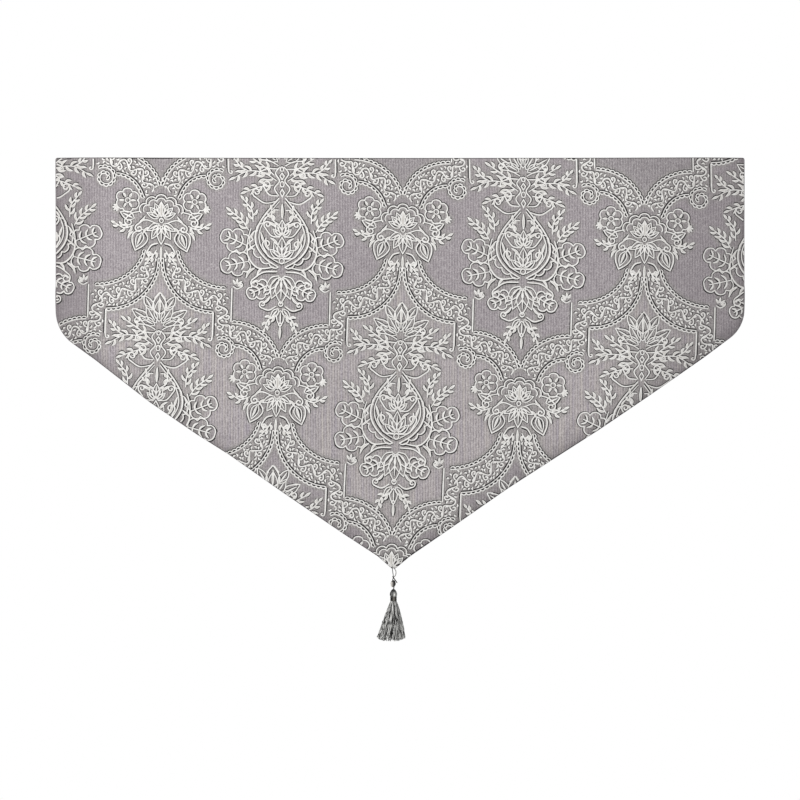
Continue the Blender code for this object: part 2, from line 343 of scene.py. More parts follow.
# %% Scrolls, leaves and rings
def scroll(points, radius, side, wide=2.6, turns=1.15, start=0.7):
    """A line that ends in a curl; side is 1 where it winds to the left, -1 to the right."""
    line = smooth_line(points)
    way = line[-1] - line[-2]
    normal = np.array([-way[1], way[0]]) / np.linalg.norm(way) * side
    centre = line[-1] + normal * radius
    first = math.atan2(*(line[-1] - centre)[::-1])
    total = turns * math.tau
    count = max(6, int(total * radius * 0.62 / STEP) + 3)
    coil = []
    for number in range(1, count + 1):
        share = number / count
        reach = radius * (1 - 0.72 * share ** 0.8)
        angle = first + side * total * share
        coil.append(centre + reach * np.array([math.cos(angle), math.sin(angle)]))
    line = np.vstack([line, coil])
    along = np.linspace(0, 1, len(line))
    return [(line, wide * np.interp(along, (0, 0.25, 0.8, 1), (start, 1, 0.95, 1.25)), False)]


def leaf(base, tip, bow=0.22, wide=2.0, fill=3.0, lean=0.0):
    """An outlined leaf with a filled midrib."""
    base = np.array(base, float)
    along = np.array(tip, float) - base
    across = np.array([-along[1], along[0]])
    strands = []
    for side in (1, -1):
        low = base + along * 0.3 + across * (side * bow * 0.9 + lean)
        high = base + along * 0.65 + across * (side * bow * 0.75 + lean)
        strands += stroke([base, low, high, base + along], wide, (0.7, 0.8))
    return strands + petal(base + along * 0.12, base + along * 0.8, fill, lean)


def ring(centre, across, high, wide=2.0):
    turns = [math.tau * number / 10 for number in range(10)]
    points = [(centre[0] + across * math.cos(t), centre[1] + high * math.sin(t)) for t in turns]
    return stroke(points, wide, closed=True)


def diamond(centre, across, high, wide=2.0):
    x, y = centre
    corners = [(x + across, y), (x, y + high), (x - across, y), (x, y - high)]
    points = []
    for (ax, ay), (bx, by) in zip(corners, corners[1:] + corners[:1]):
        points += [(ax + (bx - ax) * t, ay + (by - ay) * t) for t in (0, 1 / 3, 2 / 3)]
    return [(np.array(points), np.full(len(points), wide), True)]


def mirrored(strands):
    return [(line * np.array([-1.0, 1.0]), width, closed) for line, width, closed in strands]


def both_sides(strands):
    return strands + mirrored(strands)


print("a leaf has", len(leaf((0, 0), (40, 0))), "strands")

# %% [markdown]
# ## Forms made by rule
# Old damask patterns are put together from a few forms: fans of leaves, sprays, lobed leaves, scalloped
# lines and scrolls. Each one is a short rule here, given a place and a size. The motifs are then built
# from them with round numbers, in the traditional manner.

# %% Arcs and even walks
def ellipse_arc(centre, across, high, start, end, count=9):
    """Points on an ellipse from one angle to another, in degrees; 0 is right and 90 is up."""
    angles = np.radians(np.linspace(start, end, count))
    return [(centre[0] + across * math.cos(angle), centre[1] + high * math.sin(angle)) for angle in angles]


def walk(points, step=0.8):
    """Even distances, places and sideways directions along a smooth route."""
    line = smooth_line(points, step=step)
    gaps = np.linalg.norm(np.diff(line, axis=0), axis=1)
    along = np.concatenate([[0], np.cumsum(gaps)])
    way = np.gradient(line, axis=0)
    way /= np.linalg.norm(way, axis=1)[:, None]
    return along, line, np.stack([-way[:, 1], way[:, 0]], 1)


def spots_along(points, shares):
    """Places and sideways directions at shares, 0 to 1, of a route's length."""
    along, line, aside = walk(points)
    even = np.asarray(shares, float) * along[-1]
    place = np.stack([np.interp(even, along, line[:, axis]) for axis in (0, 1)], 1)
    across = np.stack([np.interp(even, along, aside[:, axis]) for axis in (0, 1)], 1)
    return place, across / np.linalg.norm(across, axis=1)[:, None]


# %% Fans, sprays, scallops and lobed leaves
def small_leaf(base, tip):
    return leaf(base, tip, 0.24, 1.9, 2.8)


def full_petal(base, tip):
    return petal(base, tip, 5.0)


def fan(heart, middle, spread, count, length, form, inner=0.22, dip=0.2):
    """Leaves or petals round a heart; the angles are in degrees, and the outer ones are shorter."""
    heart = np.array(heart, float)
    strands = []
    for share in np.linspace(-1, 1, count):
        angle = math.radians(middle + spread * share)
        way = np.array([math.cos(angle), math.sin(angle)]) * length * (1 - dip * abs(share))
        strands += form(heart + way * inner, heart + way)
    return strands


def spray(route, count, length, wide=5.6, lean=38, stem=2.4, shrink=0.35):
    """A stem with leaves left and right in turn, smaller towards its tip, and one leaf at the tip."""
    strands = stroke(route, stem)
    shares = (np.arange(count) + 0.8) / (count + 0.6)
    places, across = spots_along(route, shares)
    for number, (place, aside) in enumerate(zip(places, across)):
        forward = np.array([aside[1], -aside[0]])
        side = 1 if number % 2 else -1
        way = forward * math.cos(math.radians(lean)) + aside * side * math.sin(math.radians(lean))
        strands += petal(place, place + way * length * (1 - shrink * shares[number]), wide, 0.16 * side)
    end = np.array(route[-1], float)
    way = end - np.array(route[-2], float)
    return strands + petal(end, end + way / np.linalg.norm(way) * length * 0.7, wide)


def scallops(route, count, depth, wide=2.1):
    """Round lobes in a row, each swinging out to the left of its route and back."""
    number = np.arange(count * 6 + 1)
    places, across = spots_along(route, number / number[-1])
    swing = depth * np.abs(np.sin(np.pi * number / 6)) ** 0.6
    return [(places + across * swing[:, None], np.full(len(number), wide), False)]


def lobed_leaf(base, tip, wide=2.1, lobes=3):
    """A broad leaf: two scalloped sides that meet at the tip, a vein, and a petal towards each lobe."""
    base = np.array(base, float)
    along = np.array(tip, float) - base
    strands = stroke([base, base + along * 0.82], 2.2)
    for side in (1, -1):
        aside = np.array([-along[1], along[0]]) * side
        edge = [base, base + along * 0.2 + aside * 0.3, base + along * 0.6 + aside * 0.27, base + along]
        strands += scallops(edge, lobes, side * 0.13 * np.linalg.norm(along), wide)
        for number in range(lobes):
            share = 0.16 + 0.5 * number / (lobes - 1)
            reach = along * (share + 0.16) + aside * (0.27 - 0.13 * share)
            strands += petal(base + along * share, base + reach, 3.8, 0.12 * side)
    return strands


def rosette(centre, radius, count=6):
    """A scalloped ring with petals in it."""
    rim = ellipse_arc(centre, radius, radius, 360, 0, 13)
    heart = ring(centre, radius * 0.24, radius * 0.24, 1.8)
    petals = fan(centre, 90, 150, count, radius * 0.86, full_petal, 0.4, 0)
    return scallops(rim, count, radius * 0.24) + petals + heart


def shade_lines_beside(strands, gap=2.4, wide=1.5, least=2.0, every=2):
    """Dark lines of painted shade close beside the stouter strands, where the ground sinks deepest."""
    dark = []
    for line, width, closed in strands[::every]:
        if closed or len(line) < 5 or width.max() < least:
            continue
        way = np.gradient(line, axis=0)
        way /= np.maximum(np.linalg.norm(way, axis=1), 1e-6)[:, None]
        aside = np.stack([-way[:, 1], way[:, 0]], 1)
        aside *= np.sign(aside[:, :1] * 0.4 - aside[:, 1:] + 1e-9)
        beside = line + aside * (width / 2 + gap / 2)[:, None]
        dark.append((beside[1:-1], np.full(len(line) - 2, wide), False))
    return dark


print("a lobed leaf has", len(lobed_leaf((0, 0), (40, 0))), "strands")

# %% [markdown]
# ## The large motif
# The large motif is an urn with acanthus in it, a palmette and sprays above, lobed leaves at its sides,
# and a fan with a drop below. Its zero is the urn's foot, and it is about 390 mm high and 220 mm wide.

# %% Palmette, sprays and neck
def palmette():
    axis = fan((0, 182), 90, 62, 5, 54, small_leaf, 0.2, 0.22) + leaf((0, 206), (0, 246), 0.34, 2.2, 6.0)
    half = scroll([(6, 178), (22, 186), (40, 188)], 7.0, 1)
    half += scroll([(8, 172), (26, 172), (40, 166)], 6.0, -1)
    half += leaf((20, 196), (50, 214), 0.26, 2.0, 3.4) + leaf((12, 214), (28, 240), 0.26, 2.0, 3.4)
    return axis + both_sides(half)


def side_sprays():
    half = spray([(10, 150), (34, 164), (62, 166), (86, 154)], 9, 19)
    half += spray([(14, 160), (36, 178), (60, 194)], 6, 17) + spray([(62, 166), (76, 174), (86, 186)], 4, 13)
    half += spray([(16, 142), (40, 138), (66, 128)], 6, 16) + petal((30, 152), (44, 146), 5.4, 0.1)
    return both_sides(half)


def neck():
    half = scroll([(8, 122), (24, 124), (34, 138)], 8.0, 1, 2.6)
    half += scroll([(10, 112), (32, 108), (52, 120)], 9.0, 1, 2.6)
    half += stroke([(4, 176), (12, 164), (5, 150), (14, 136), (6, 122)], 2.5)
    axis = diamond((0, 128), 4, 7) + ring((0, 144), 3.6, 5.0)
    axis += diamond((0, 159), 4, 6) + ring((0, 172), 3.2, 4.0)
    return axis + both_sides(half)


# %% Urn, lobed leaves, fan and drop
def pear(scale=1.0, foot=-12.0, top=118.0, count=12):
    """The right outline of a pear shape, from its foot to its top."""
    shares = np.linspace(0, 1, count)
    widths = scale * (6 + 44 * np.sin(math.pi * shares ** 0.8))
    return list(zip(widths, foot + (top - foot) * shares))


def urn():
    half = stroke(pear(), 3.2) + stroke(pear(0.86, -4, 112), 2.0) + scallops(pear(1.1, -12, 96), 8, -5.0, 2.0)
    half += scroll([(5, 4), (24, 8), (36, 28)], 8.5, 1, 2.8)
    half += scroll([(4, 46), (20, 48), (33, 64)], 7.5, 1, 2.6)
    half += petal((24, 20), (30, 44), 6.0, -0.14) + petal((8, 30), (22, 44), 5.4, 0.12)
    half += petal((34, 34), (40, 54), 5.0)
    half += spray([(4, 68), (18, 78), (20, 96)], 4, 13) + petal((12, 64), (28, 74), 5.0, 0.1)
    axis = fan((0, 2), 90, 48, 5, 44, small_leaf, 0.18, 0.3)
    axis += fan((0, 44), 90, 46, 5, 34, small_leaf, 0.18, 0.3)
    axis += petal((0, 80), (0, 108), 6.0) + ring((0, 0), 5, 5, 2.2)
    return axis + both_sides(half)


def lobed_sides():
    half = stroke([(14, -12), (44, -14), (62, 6), (64, 34), (58, 60)], 2.8)
    half += lobed_leaf((62, -2), (112, -14)) + lobed_leaf((66, 28), (112, 48))
    half += spray([(62, 56), (74, 74), (94, 90)], 7, 17) + spray([(54, 72), (56, 94), (70, 112)], 6, 15)
    half += petal((50, -14), (66, -34), 6.0, 0.14) + petal((36, -14), (46, -28), 5.0, 0.1)
    half += petal((64, 18), (50, 30), 4.6) + petal((62, 40), (52, 54), 4.6)
    return both_sides(half)


def fan_and_drop():
    half = scroll([(8, -20), (34, -22), (54, -36)], 9.0, -1, 2.6)
    half += scroll([(8, -84), (22, -92), (36, -88)], 7.0, 1, 2.5)
    half += lobed_leaf((26, -46), (62, -66)) + spray([(8, -100), (22, -110), (28, -126)], 5, 13)
    half += petal((20, -66), (34, -80), 5.0, -0.1)
    axis = fan((0, -22), -90, 40, 5, 58, small_leaf, 0.16, 0.22)
    axis += fan((0, -84), -90, 38, 3, 38, small_leaf, 0.2, 0.2)
    axis += petal((0, -122), (0, -144), 6.0) + ring((0, -80), 4, 4, 2.0) + diamond((0, -118), 3, 4)
    return axis + both_sides(half)


def large_motif():
    return palmette() + side_sprays() + neck() + urn() + lobed_sides() + fan_and_drop()


print("large motif:", len(large_motif()), "strands")

# %% [markdown]
# ## The small motif
# Where two bands cross sits a smaller motif: an open flower under a scalloped arch, with a rosette, a
# scroll and a drop at each side, and a fan of leaves below. Its zero is the flower's heart, and it is about
# 170 mm wide.

# %% Flower, arch, rosettes and drops
def small_motif():
    axis = fan((0, 0), 90, 66, 7, 33, small_leaf, 0.2, 0.1) + petal((0, 4), (0, 32), 9.0)
    axis += fan((0, -6), -90, 58, 5, 42, small_leaf, 0.18, 0.25) + ring((0, -2), 4, 4, 2.2)
    axis += scallops(ellipse_arc((0, 4), 38, 36, 170, 10, 15), 5, 6.0, 2.4) + petal((0, -52), (0, -78), 5.6)
    axis += scallops(ellipse_arc((0, 4), 33, 31, 165, 15, 15), 5, 4.5, 1.8)
    half = scroll([(10, -8), (30, -2), (46, -12)], 8.0, -1, 2.6)
    half += scroll([(38, 14), (54, 10), (66, 0)], 8.5, -1, 2.6)
    half += rosette((62, 34), 18.0) + fan((78, 22), -20, 40, 4, 13, full_petal)
    half += leaf((34, -20), (48, -60), 0.36, 2.4, 0) + leaf((36, -26), (46, -54), 0.24, 1.8, 5.0)
    half += spray([(50, -12), (68, -18), (84, -10)], 5, 14)
    half += scroll([(6, -46), (18, -50), (26, -62)], 5.0, -1)
    half += leaf((50, 0), (76, 12), 0.28, 2.0, 3.6) + petal((40, -6), (30, 6), 4.6, 0.1)
    half += petal((52, -24), (62, -38), 5.0, 0.14)
    half += spray([(8, -58), (14, -68), (24, -80)], 4, 12) + petal((24, -16), (34, -28), 5.4, 0.1)
    return axis + both_sides(half)


print("small motif:", len(small_motif()), "strands")

# %% [markdown]
# ## Net of chains
# Chains of two twisted strands frame the large motifs in an onion-shaped net. Each chain is a quarter of
# an ellipse. Two of them meet at an upright step, and a coiled chain sits under it.

# %% Chains along quarter ellipses
UPPER_NEAR = ellipse_arc((120, -46), 90, 78, 188, 270)
LOWER_NEAR = ellipse_arc((98, -72), 95, 98, 180, 270)
UPPER_FAR = ellipse_arc((134, -266), 88, 80, 90, 12)
LOWER_FAR = ellipse_arc((140, -288), 50, 58, 90, 14)
COIL_TURNS = np.linspace(0, 9.6, 25)
COIL = [(120 + (21 - turn * 1.75) * math.cos(2.2 - turn), -236 + (21 - turn * 1.75) * math.sin(2.2 - turn))
        for turn in COIL_TURNS]
UPRIGHTS = (((132, -124), (132, -186)), ((99, -170), (99, -214)))
CHAINS = ((UPPER_NEAR, -1), (LOWER_NEAR, 1), (UPPER_FAR, -1), (LOWER_FAR, 1), (COIL, -1))
INNER_CHAINS = ((LOWER_NEAR, 1), (LOWER_FAR, 1))
CHAIN_PITCH = 8.7
CHAIN_WIDE = 1.9


def chain(points, band_side):
    """A plain strand on the band's side, and one beside it that swings to and fro in links."""
    links = max(1, int(round(walk(points)[0][-1] / CHAIN_PITCH)))
    number = np.arange(links * 6 + 1)
    middle, across = spots_along(points, number / number[-1])
    across = across * band_side
    swing = np.abs(np.sin(math.pi * number / 6)) ** 0.5
    width = np.full(len(number), CHAIN_WIDE)
    swung = middle + across * (0.3 - 2.9 * swing)[:, None]
    return [(middle + across * 2.2, width, False), (swung, width, False)]


def chain_eyes(points, band_side):
    """The dark gaps between the two strands, one in each link."""
    links = max(1, int(round(walk(points)[0][-1] / CHAIN_PITCH)))
    strands = []
    for number in range(links):
        places, across = spots_along(points, (number + np.array([0.2, 0.35, 0.65, 0.8])) / links)
        strands.append((places - across * band_side * 0.1, np.array([2.2, 3.4, 3.4, 2.2]), False))
    return strands


def net():
    half = fan((140, -118), 60, 62, 4, 13, full_petal, 0.2, 0.1)
    half += scroll([(134, -120), (142, -124), (150, -120)], 4.0, 1, 2.2, 0.9)
    half += scroll([(99, -212), (98, -220)], 4.0, -1, 2.4, 0.8)
    for points, band_side in CHAINS:
        half += chain(points, band_side)
    for start, end in UPRIGHTS:
        half += stroke([start, end], 2.6, (1, 1))
    return both_sides(half)


def dark_eyes():
    half = []
    for points, band_side in CHAINS:
        half += chain_eyes(points, band_side)
    for points, band_side in INNER_CHAINS:
        along, line, aside = walk(points)
        half.append((line + aside * band_side * 4.3, np.full(len(line), 1.7), False))
    for (start, end), side in zip(UPRIGHTS, (-2.6, 2.6)):
        half += stroke([(start[0] + side, start[1]), (end[0] + side, end[1])], 0.9, (1, 1))
    return both_sides(half)


print("net of chains:", len(net()) + len(dark_eyes()), "strands in each repeat")

# %% [markdown]
# ## Vine in the band
# A vine fills the band between the chains. Its stem swings from side to side along the band's middle. At
# each swing a scroll with a berry turns off to the other side, and short leaflets fill what room is left.

# %% A vine by rule
def middle_of(first, second):
    return [((ax + bx) / 2, (ay + by) / 2) for (ax, ay), (bx, by) in zip(first, second)]


VINE_ROUTE = middle_of(UPPER_NEAR, LOWER_NEAR)[1:] + [(117, -166), (117, -190)]
VINE_ROUTE += middle_of(UPPER_FAR, LOWER_FAR)
VINE_SWING = 7.5
VINE_SWINGS = 17


def inside_corners(points, corners):
    """For each point, whether it lies in the closed polygon, by counting the sides to its right."""
    inside = np.zeros(len(points), bool)
    for (ax, ay), (bx, by) in zip(corners, corners[1:] + corners[:1]):
        if ay == by:
            continue
        between = (ay > points[:, 1]) != (by > points[:, 1])
        inside ^= between & (points[:, 0] < ax + (points[:, 1] - ay) * (bx - ax) / (by - ay))
    return inside


def leaflets(strands, corners, spacing=3.5, room=4.2, margin=6.4):
    """Short leaves in the gaps between the strands, each one turned away from the nearest strand."""
    lots = np.random.default_rng(3)
    right, up = np.meshgrid(np.arange(0, 225, spacing), np.arange(-280, -50, spacing))
    places = np.stack([right.ravel(), up.ravel()], 1) + lots.uniform(-1, 1, (right.size, 2))
    places = places[inside_corners(places, corners)]
    routes = [points for points, band_side in CHAINS] + list(UPRIGHTS)
    chains = np.concatenate([walk(points)[1] for points in routes])
    taken = np.concatenate([line for line, width, closed in strands])
    grown = []
    for place in places:
        away = place - taken
        gaps = np.linalg.norm(away, axis=1)
        if gaps.min() < room or np.linalg.norm(chains - place, axis=1).min() < margin:
            continue
        out = away[np.argmin(gaps)] / gaps.min()
        lean = out + np.array([-out[1], out[0]]) * (1 if len(grown) % 2 else -1)
        leaf_strands = petal(tuple(place - lean * 1.6), tuple(place + lean * 2.4), 3.4, 0.25)
        grown += leaf_strands
        taken = np.concatenate([taken] + [line for line, width, closed in leaf_strands])
    return grown


def vine():
    shares = np.linspace(0, 1, VINE_SWINGS * 4 + 1)
    places, across = spots_along(VINE_ROUTE, shares)
    swing = VINE_SWING * np.sin(math.pi * VINE_SWINGS * shares)
    half = stroke(places + across * swing[:, None], 2.6)
    for number in range(1, VINE_SWINGS):
        place, aside = places[number * 4], across[number * 4]
        side = 1 if number % 2 else -1
        forward = np.array([aside[1], -aside[0]])
        out = place + forward * 4 + aside * side * 8
        half += scroll([place, place + forward * 3 + aside * side * 3, out], 4.8, side, 2.5, 0.85)
        half += petal(place, place + forward * 7 - aside * side * 5, 4.0, 0.1)
        berry = place - forward * 2 + aside * side * 11
        half.append((np.array([berry - forward * 0.7, berry + forward * 0.7]), np.full(2, 4.8), False))
    band = UPPER_NEAR + UPPER_FAR + LOWER_FAR[::-1] + [(99, -214)] + LOWER_NEAR[::-1]
    return both_sides(half + leaflets(half, band))


print("vine:", len(vine()), "strands in each repeat")

# %% [markdown]
# ## Laying the repeats on the cloth
# A damask repeats like bricks: each next row is shifted by half a repeat. On this cloth the rows run two
# degrees off level. Two steps, one along a row and one down a column, place every motif, and a line is
# cut off where the cloth ends.

# %% The repeat
ROW_STEP = np.array([442.9, -17.5])
COLUMN_STEP = np.array([-19.3, -623.5])
FIRST_PLACE = np.array([-437.0, -110.4])
LARGE_BELOW_SMALL = np.array([0.0, -383.0])
ALONG = ROW_STEP / np.linalg.norm(ROW_STEP)
UPWARDS = -COLUMN_STEP / np.linalg.norm(COLUMN_STEP)

PLACES = []
for row in range(-1, 3):
    for column in range(-2, 4):
        shift = 0.5 * (row % 2)
        place = FIRST_PLACE + ROW_STEP * (column + shift) + COLUMN_STEP * (row / 2)
        PLACES.append({"place": place, "kind": "open" if row % 2 else "striped"})
print("places for the repeat:", len(PLACES))


# %% Cutting the lines at the cloth's edge
def inside_cloth(line, margin=0.6):
    """Which points, in millimetres on the cloth, lie inside its outline."""
    x = line[:, 0] * MM
    z = line[:, 1] * MM
    room = margin * MM
    return (np.abs(x) < HALF - room) & (z < top_edge(x) - room) & (z > lower_edge(x) + room)


def cut_to_cloth(line, width, closed):
    """The stretches of a strand that lie on the cloth, each run out to the edge itself."""
    if closed:
        line = np.vstack([line, line[:1]])
        width = np.append(width, width[0])
    inside = inside_cloth(line)
    if inside.all():
        return [(line[:-1], width[:-1], True)] if closed else [(line, width, False)]
    parts = []
    points, sizes = [], []
    for number in range(len(line)):
        if inside[number]:
            points.append(line[number])
            sizes.append(width[number])
        if number + 1 < len(line) and inside[number] != inside[number + 1]:
            low, high = 0.0, 1.0
            for _ in range(6):
                middle = (low + high) / 2
                place = line[number] + (line[number + 1] - line[number]) * middle
                if inside_cloth(place[None])[0] == inside[number]:
                    low = middle
                else:
                    high = middle
            points.append(line[number] + (line[number + 1] - line[number]) * low)
            sizes.append(width[number])
        if points and not inside[number] or number + 1 == len(line):
            if len(points) > 1:
                parts.append((np.array(points), np.array(sizes), False))
            points, sizes = [], []
        if number + 1 < len(line) and inside[number] and not inside[number + 1]:
            if len(points) > 1:
                parts.append((np.array(points), np.array(sizes), False))
            points, sizes = [], []
    return parts


def pulled(flat):
    """The cloth isn't cut quite true to its threads: how far each place is pulled aside and up."""
    x = flat[:, 0] / 625
    y = -(flat[:, 1] + 316) / 368
    sag = np.exp(-(((flat[:, 0] + 12) / 130) ** 2)) * np.clip((-flat[:, 1] - 440) / 160, 0, 1)
    at_tip = sag * np.clip((-flat[:, 1] - 600) / 100, 0, 1)
    aside = 1.5 + x - 0.8 * y - 0.4 * x * x + 2.3 * x * y - 7.7 * y * y + 0.7 * x * y * y
    aside += 0.35 * x * x * y + 2.15 * x ** 3 + 2.9 * y ** 3 - 0.6 * sag + 2.6 * at_tip
    up = -0.2 - 3.5 * x + 3.1 * y - 1.4 * x * y - 0.35 * y * y + 1.7 * x * x * y - 0.5 * x * y * y
    up += 5.1 * x ** 3 - 1.8 * y ** 3 - 7.4 * sag + 2.5 * at_tip
    return np.stack([aside, up], 1)


def lay_out(strands, shift=(0.0, 0.0), kinds=("open", "striped")):
    """A motif's strands at each place of the repeat, in millimetres on the cloth."""
    laid = []
    for repeat in PLACES:
        if repeat["kind"] not in kinds:
            continue
        for line, width, closed in strands:
            local = line + np.array(shift)
            flat = np.outer(local[:, 0], ALONG) + np.outer(local[:, 1], UPWARDS) + repeat["place"]
            laid += cut_to_cloth(flat + pulled(flat), width, closed)
    return laid


def fold_shade_lines():
    """Thin lines of painted shade just inside the top and lower edges, where the cloth folds back; wider at
    the tip.
    """
    whole = np.arange(-633, 634, 6.0)
    left, right = np.arange(-600, -14, 5.0), np.arange(-10, 600, 5.0)
    pressed = np.arange(-502, -412, 6.0)
    right_wide = np.interp(right, (-10, 18, 60, 600), (3.2, 3.0, 1.7, 1.3))
    return [
        (np.stack([whole, top_edge(whole * MM) / MM - 0.9], 1), np.full(len(whole), 1.0), False),
        (np.stack([right, lower_edge(right * MM) / MM + 0.4 + right_wide * 0.4], 1), right_wide, False),
        (np.stack([left, lower_edge(left * MM) / MM + 0.76], 1), np.full(len(left), 0.9), False),
        (np.stack([pressed, top_edge(pressed * MM) / MM - 1.3], 1), np.full(len(pressed), 2.2), False),
    ]


figure = {
    "damask_large_motifs": lay_out(large_motif(), LARGE_BELOW_SMALL),
    "damask_small_motifs": lay_out(small_motif()),
    "damask_chains": lay_out(net()),
    # The chains' woven dark eyes, with lines of painted shade beside the strands and along the edges
    "damask_dark_threads_and_shade": lay_out(dark_eyes() + shade_lines_beside(small_motif()))
    + lay_out(shade_lines_beside(large_motif()), LARGE_BELOW_SMALL) + fold_shade_lines(),
    "damask_vine": lay_out(vine()),
}
for name, strands in figure.items():
    print(name, len(strands), "strands,", sum(len(line) for line, width, closed in strands), "points")

# %% [markdown]
# ## Raising the strands
# Each strand becomes a curve with a four-sided section, which Blender turns into a mesh. Then every point
# is laid on the cloth: the top ridge stands a little proud, the two sides touch the cloth, and the
# underside sinks into it. An attribute keeps each point's distance from the strand's edge, so the
# material can make the edge dark, as the binding weave round a damask figure is.

# %% Strands to meshes
def side_shade(x):
    """How far each place lies in the shade at the right or the left end, 0 to 1."""
    at_right = 0.68 * np.clip((x - 0.40) / 0.14, 0, 1)
    at_left = np.clip((-x - 0.54) / 0.05, 0, 1)
    return at_right + at_left


THREAD_SHARE = 0.78
EDGE_DARK = 2.3
SIDE_LIFT = 0.12 * MM
RIDGE_BASE = 0.24 * MM
RIDGE_SHARE = 0.12
SINK = 0.35 * MM


def centres(below):
    """The middles of the motifs that lie so far below each place of the repeat."""
    return np.array([repeat["place"] + UPWARDS * below for repeat in PLACES])


FIGURE_CENTRES = {
    "damask_large_motifs": centres(-375.0),
    "damask_small_motifs": centres(-10.0),
    "damask_chains": centres(-172.0),
    "damask_dark_threads_and_shade": centres(-172.0),
    "damask_vine": centres(-172.0),
}
NET_PIECES = ("damask_chains", "damask_dark_threads_and_shade", "damask_vine")


def strand_curve(name, strands, edge):
    """All strands of a piece as one flat mesh in millimetres, each with an edge added to its width."""
    curve = bpy.data.curves.new(name, "CURVE")
    curve.dimensions = "2D"
    curve.fill_mode = "NONE"
    curve.bevel_depth = 1.0
    curve.bevel_resolution = 0
    curve.use_fill_caps = True
    for line, width, closed in strands:
        spline = curve.splines.new("POLY")
        spline.points.add(len(line) - 1)
        spline.use_cyclic_u = closed
        places = np.zeros((len(line), 4))
        places[:, :2] = line
        places[:, 3] = 1
        spline.points.foreach_set("co", places.ravel())
        spline.points.foreach_set("radius", (width * THREAD_SHARE + edge) / 2)
    piece = bpy.data.objects.new(name, curve)
    bpy.context.scene.collection.objects.link(piece)
    select_only(piece)
    bpy.ops.object.convert(target="MESH")
    return bpy.context.object


def away_from(middles, places, upward):
    """At each place, the direction away from the nearest of the middles, or aside from it and up."""
    gaps = places[:, None] - middles[None]
    nearest = np.argmin(np.linalg.norm(gaps, axis=2), axis=1)
    way = gaps[np.arange(len(places)), nearest]
    if upward:
        way = np.stack([np.sign(way[:, 0]), np.ones(len(way))], 1) * 10
    return way / np.maximum(np.linalg.norm(way, axis=1), 1.0)[:, None]


def lay_on_cloth(piece, middles, edge):
    """Move a flat mesh in millimetres onto the cloth's face, and keep its distance from the edge."""
    count = len(piece.data.vertices)
    flat = np.empty(count * 3)
    piece.data.vertices.foreach_get("co", flat)
    flat = flat.reshape(-1, 3)
    reach = flat[:, 2]
    top = reach > 1e-4
    under = reach < -1e-4
    crest = np.arange(count) // 4 * 4
    aside = flat[:, :2] - flat[crest, :2]
    aside /= np.maximum(np.linalg.norm(aside, axis=1), 1e-6)[:, None]
    outward = away_from(middles, flat[:, :2], piece.name in NET_PIECES)
    from_edge = np.where(top, reach, -0.3 - 1.2 * (aside * outward).sum(axis=1))
    flat[top, :2] -= outward[top] * edge * 0.35
    if edge == 0:
        from_edge[:] = -1.0
    x = np.clip(flat[:, 0] * MM, -HALF + 0.3 * MM, HALF - 0.3 * MM)
    z = np.clip(flat[:, 1] * MM, lower_edge(x) + 0.3 * MM, top_edge(x) - 0.3 * MM)
    height = np.full(count, SIDE_LIFT)
    height[top] = RIDGE_BASE + RIDGE_SHARE * reach[top] * MM
    height[under] = -SINK
    y = face_depth(x, z) - height
    piece.data.vertices.foreach_set("co", np.stack([x, y, z], 1).ravel())
    attribute = piece.data.attributes.new("from_edge", "FLOAT", "POINT")
    attribute.data.foreach_set("value", from_edge)
    attribute = piece.data.attributes.new("side_shade", "FLOAT", "POINT")
    attribute.data.foreach_set("value", side_shade(x))
    select_only(piece)
    bpy.ops.object.mode_set(mode="EDIT")
    bpy.ops.mesh.select_all(action="SELECT")
    bpy.ops.mesh.normals_make_consistent(inside=False)
    bpy.ops.object.mode_set(mode="OBJECT")
    bpy.ops.object.shade_smooth_by_angle(angle=math.radians(40))


figure_pieces = []
for name, strands in figure.items():
    edge = 0.0 if name == "damask_dark_threads_and_shade" else EDGE_DARK
    piece = strand_curve(name, strands, edge)
    lay_on_cloth(piece, FIGURE_CENTRES[name], edge)
    figure_pieces.append(piece)
    print(name, sum(len(face.vertices) - 2 for face in piece.data.polygons), "triangles")

# %% [markdown]
# ## The cloth
# The cloth is one grid, laid into the outline column by column, waved, and given its thickness. Close
# columns round the shoulders keep those round. The hem is pressed flat, so its rim is only softened.

# %% Sheet of cloth
CLOTH_COLUMNS = 254
CLOTH_ROWS = 160
SHOULDER_COLUMNS = 16


def column_places():
    """Places across the cloth: close together round each shoulder, even between."""
    places = []
    inner = {}
    for name, shoulder in SHOULDERS.items():
        for step in range(SHOULDER_COLUMNS):
            turn = math.radians(60) * step / SHOULDER_COLUMNS
            inner[name] = HALF - shoulder["radius"] * (1 - math.cos(turn))
            places.append(shoulder["side"] * inner[name])
    spacing = (inner["left"] + inner["right"]) / CLOTH_COLUMNS
    places += [step * spacing - inner["left"] for step in range(1, CLOTH_COLUMNS)]
    tip = [TIP_X - TIP_HALF, TIP_X + TIP_HALF]
    places = [x for x in places if min(abs(x - side) for side in tip) > spacing / 3]
    return np.array(sorted(places + tip))


columns = column_places()
bpy.ops.mesh.primitive_grid_add(x_subdivisions=len(columns) - 1, y_subdivisions=CLOTH_ROWS, size=1)
cloth = bpy.context.object
cloth.name = "damask_cloth_panel"
spots = np.empty(len(cloth.data.vertices) * 3)
cloth.data.vertices.foreach_get("co", spots)
spots = spots.reshape(-1, 3)
across = columns[np.rint((spots[:, 0] + 0.5) * (len(columns) - 1)).astype(int)]
even = np.rint((0.5 - spots[:, 1]) * CLOTH_ROWS) / CLOTH_ROWS
share = 0.7 * even + 0.3 * (1 - np.cos(math.pi * even)) / 2
down = top_edge(across) + (lower_edge(across) - top_edge(across)) * share
deep = sheet_depth(across, down) - crease_lift(across, down)
cloth.data.vertices.foreach_set("co", np.stack([across, deep, down], 1).ravel())
cloth.data.update()
print("cloth grid:", len(cloth.data.polygons), "faces")

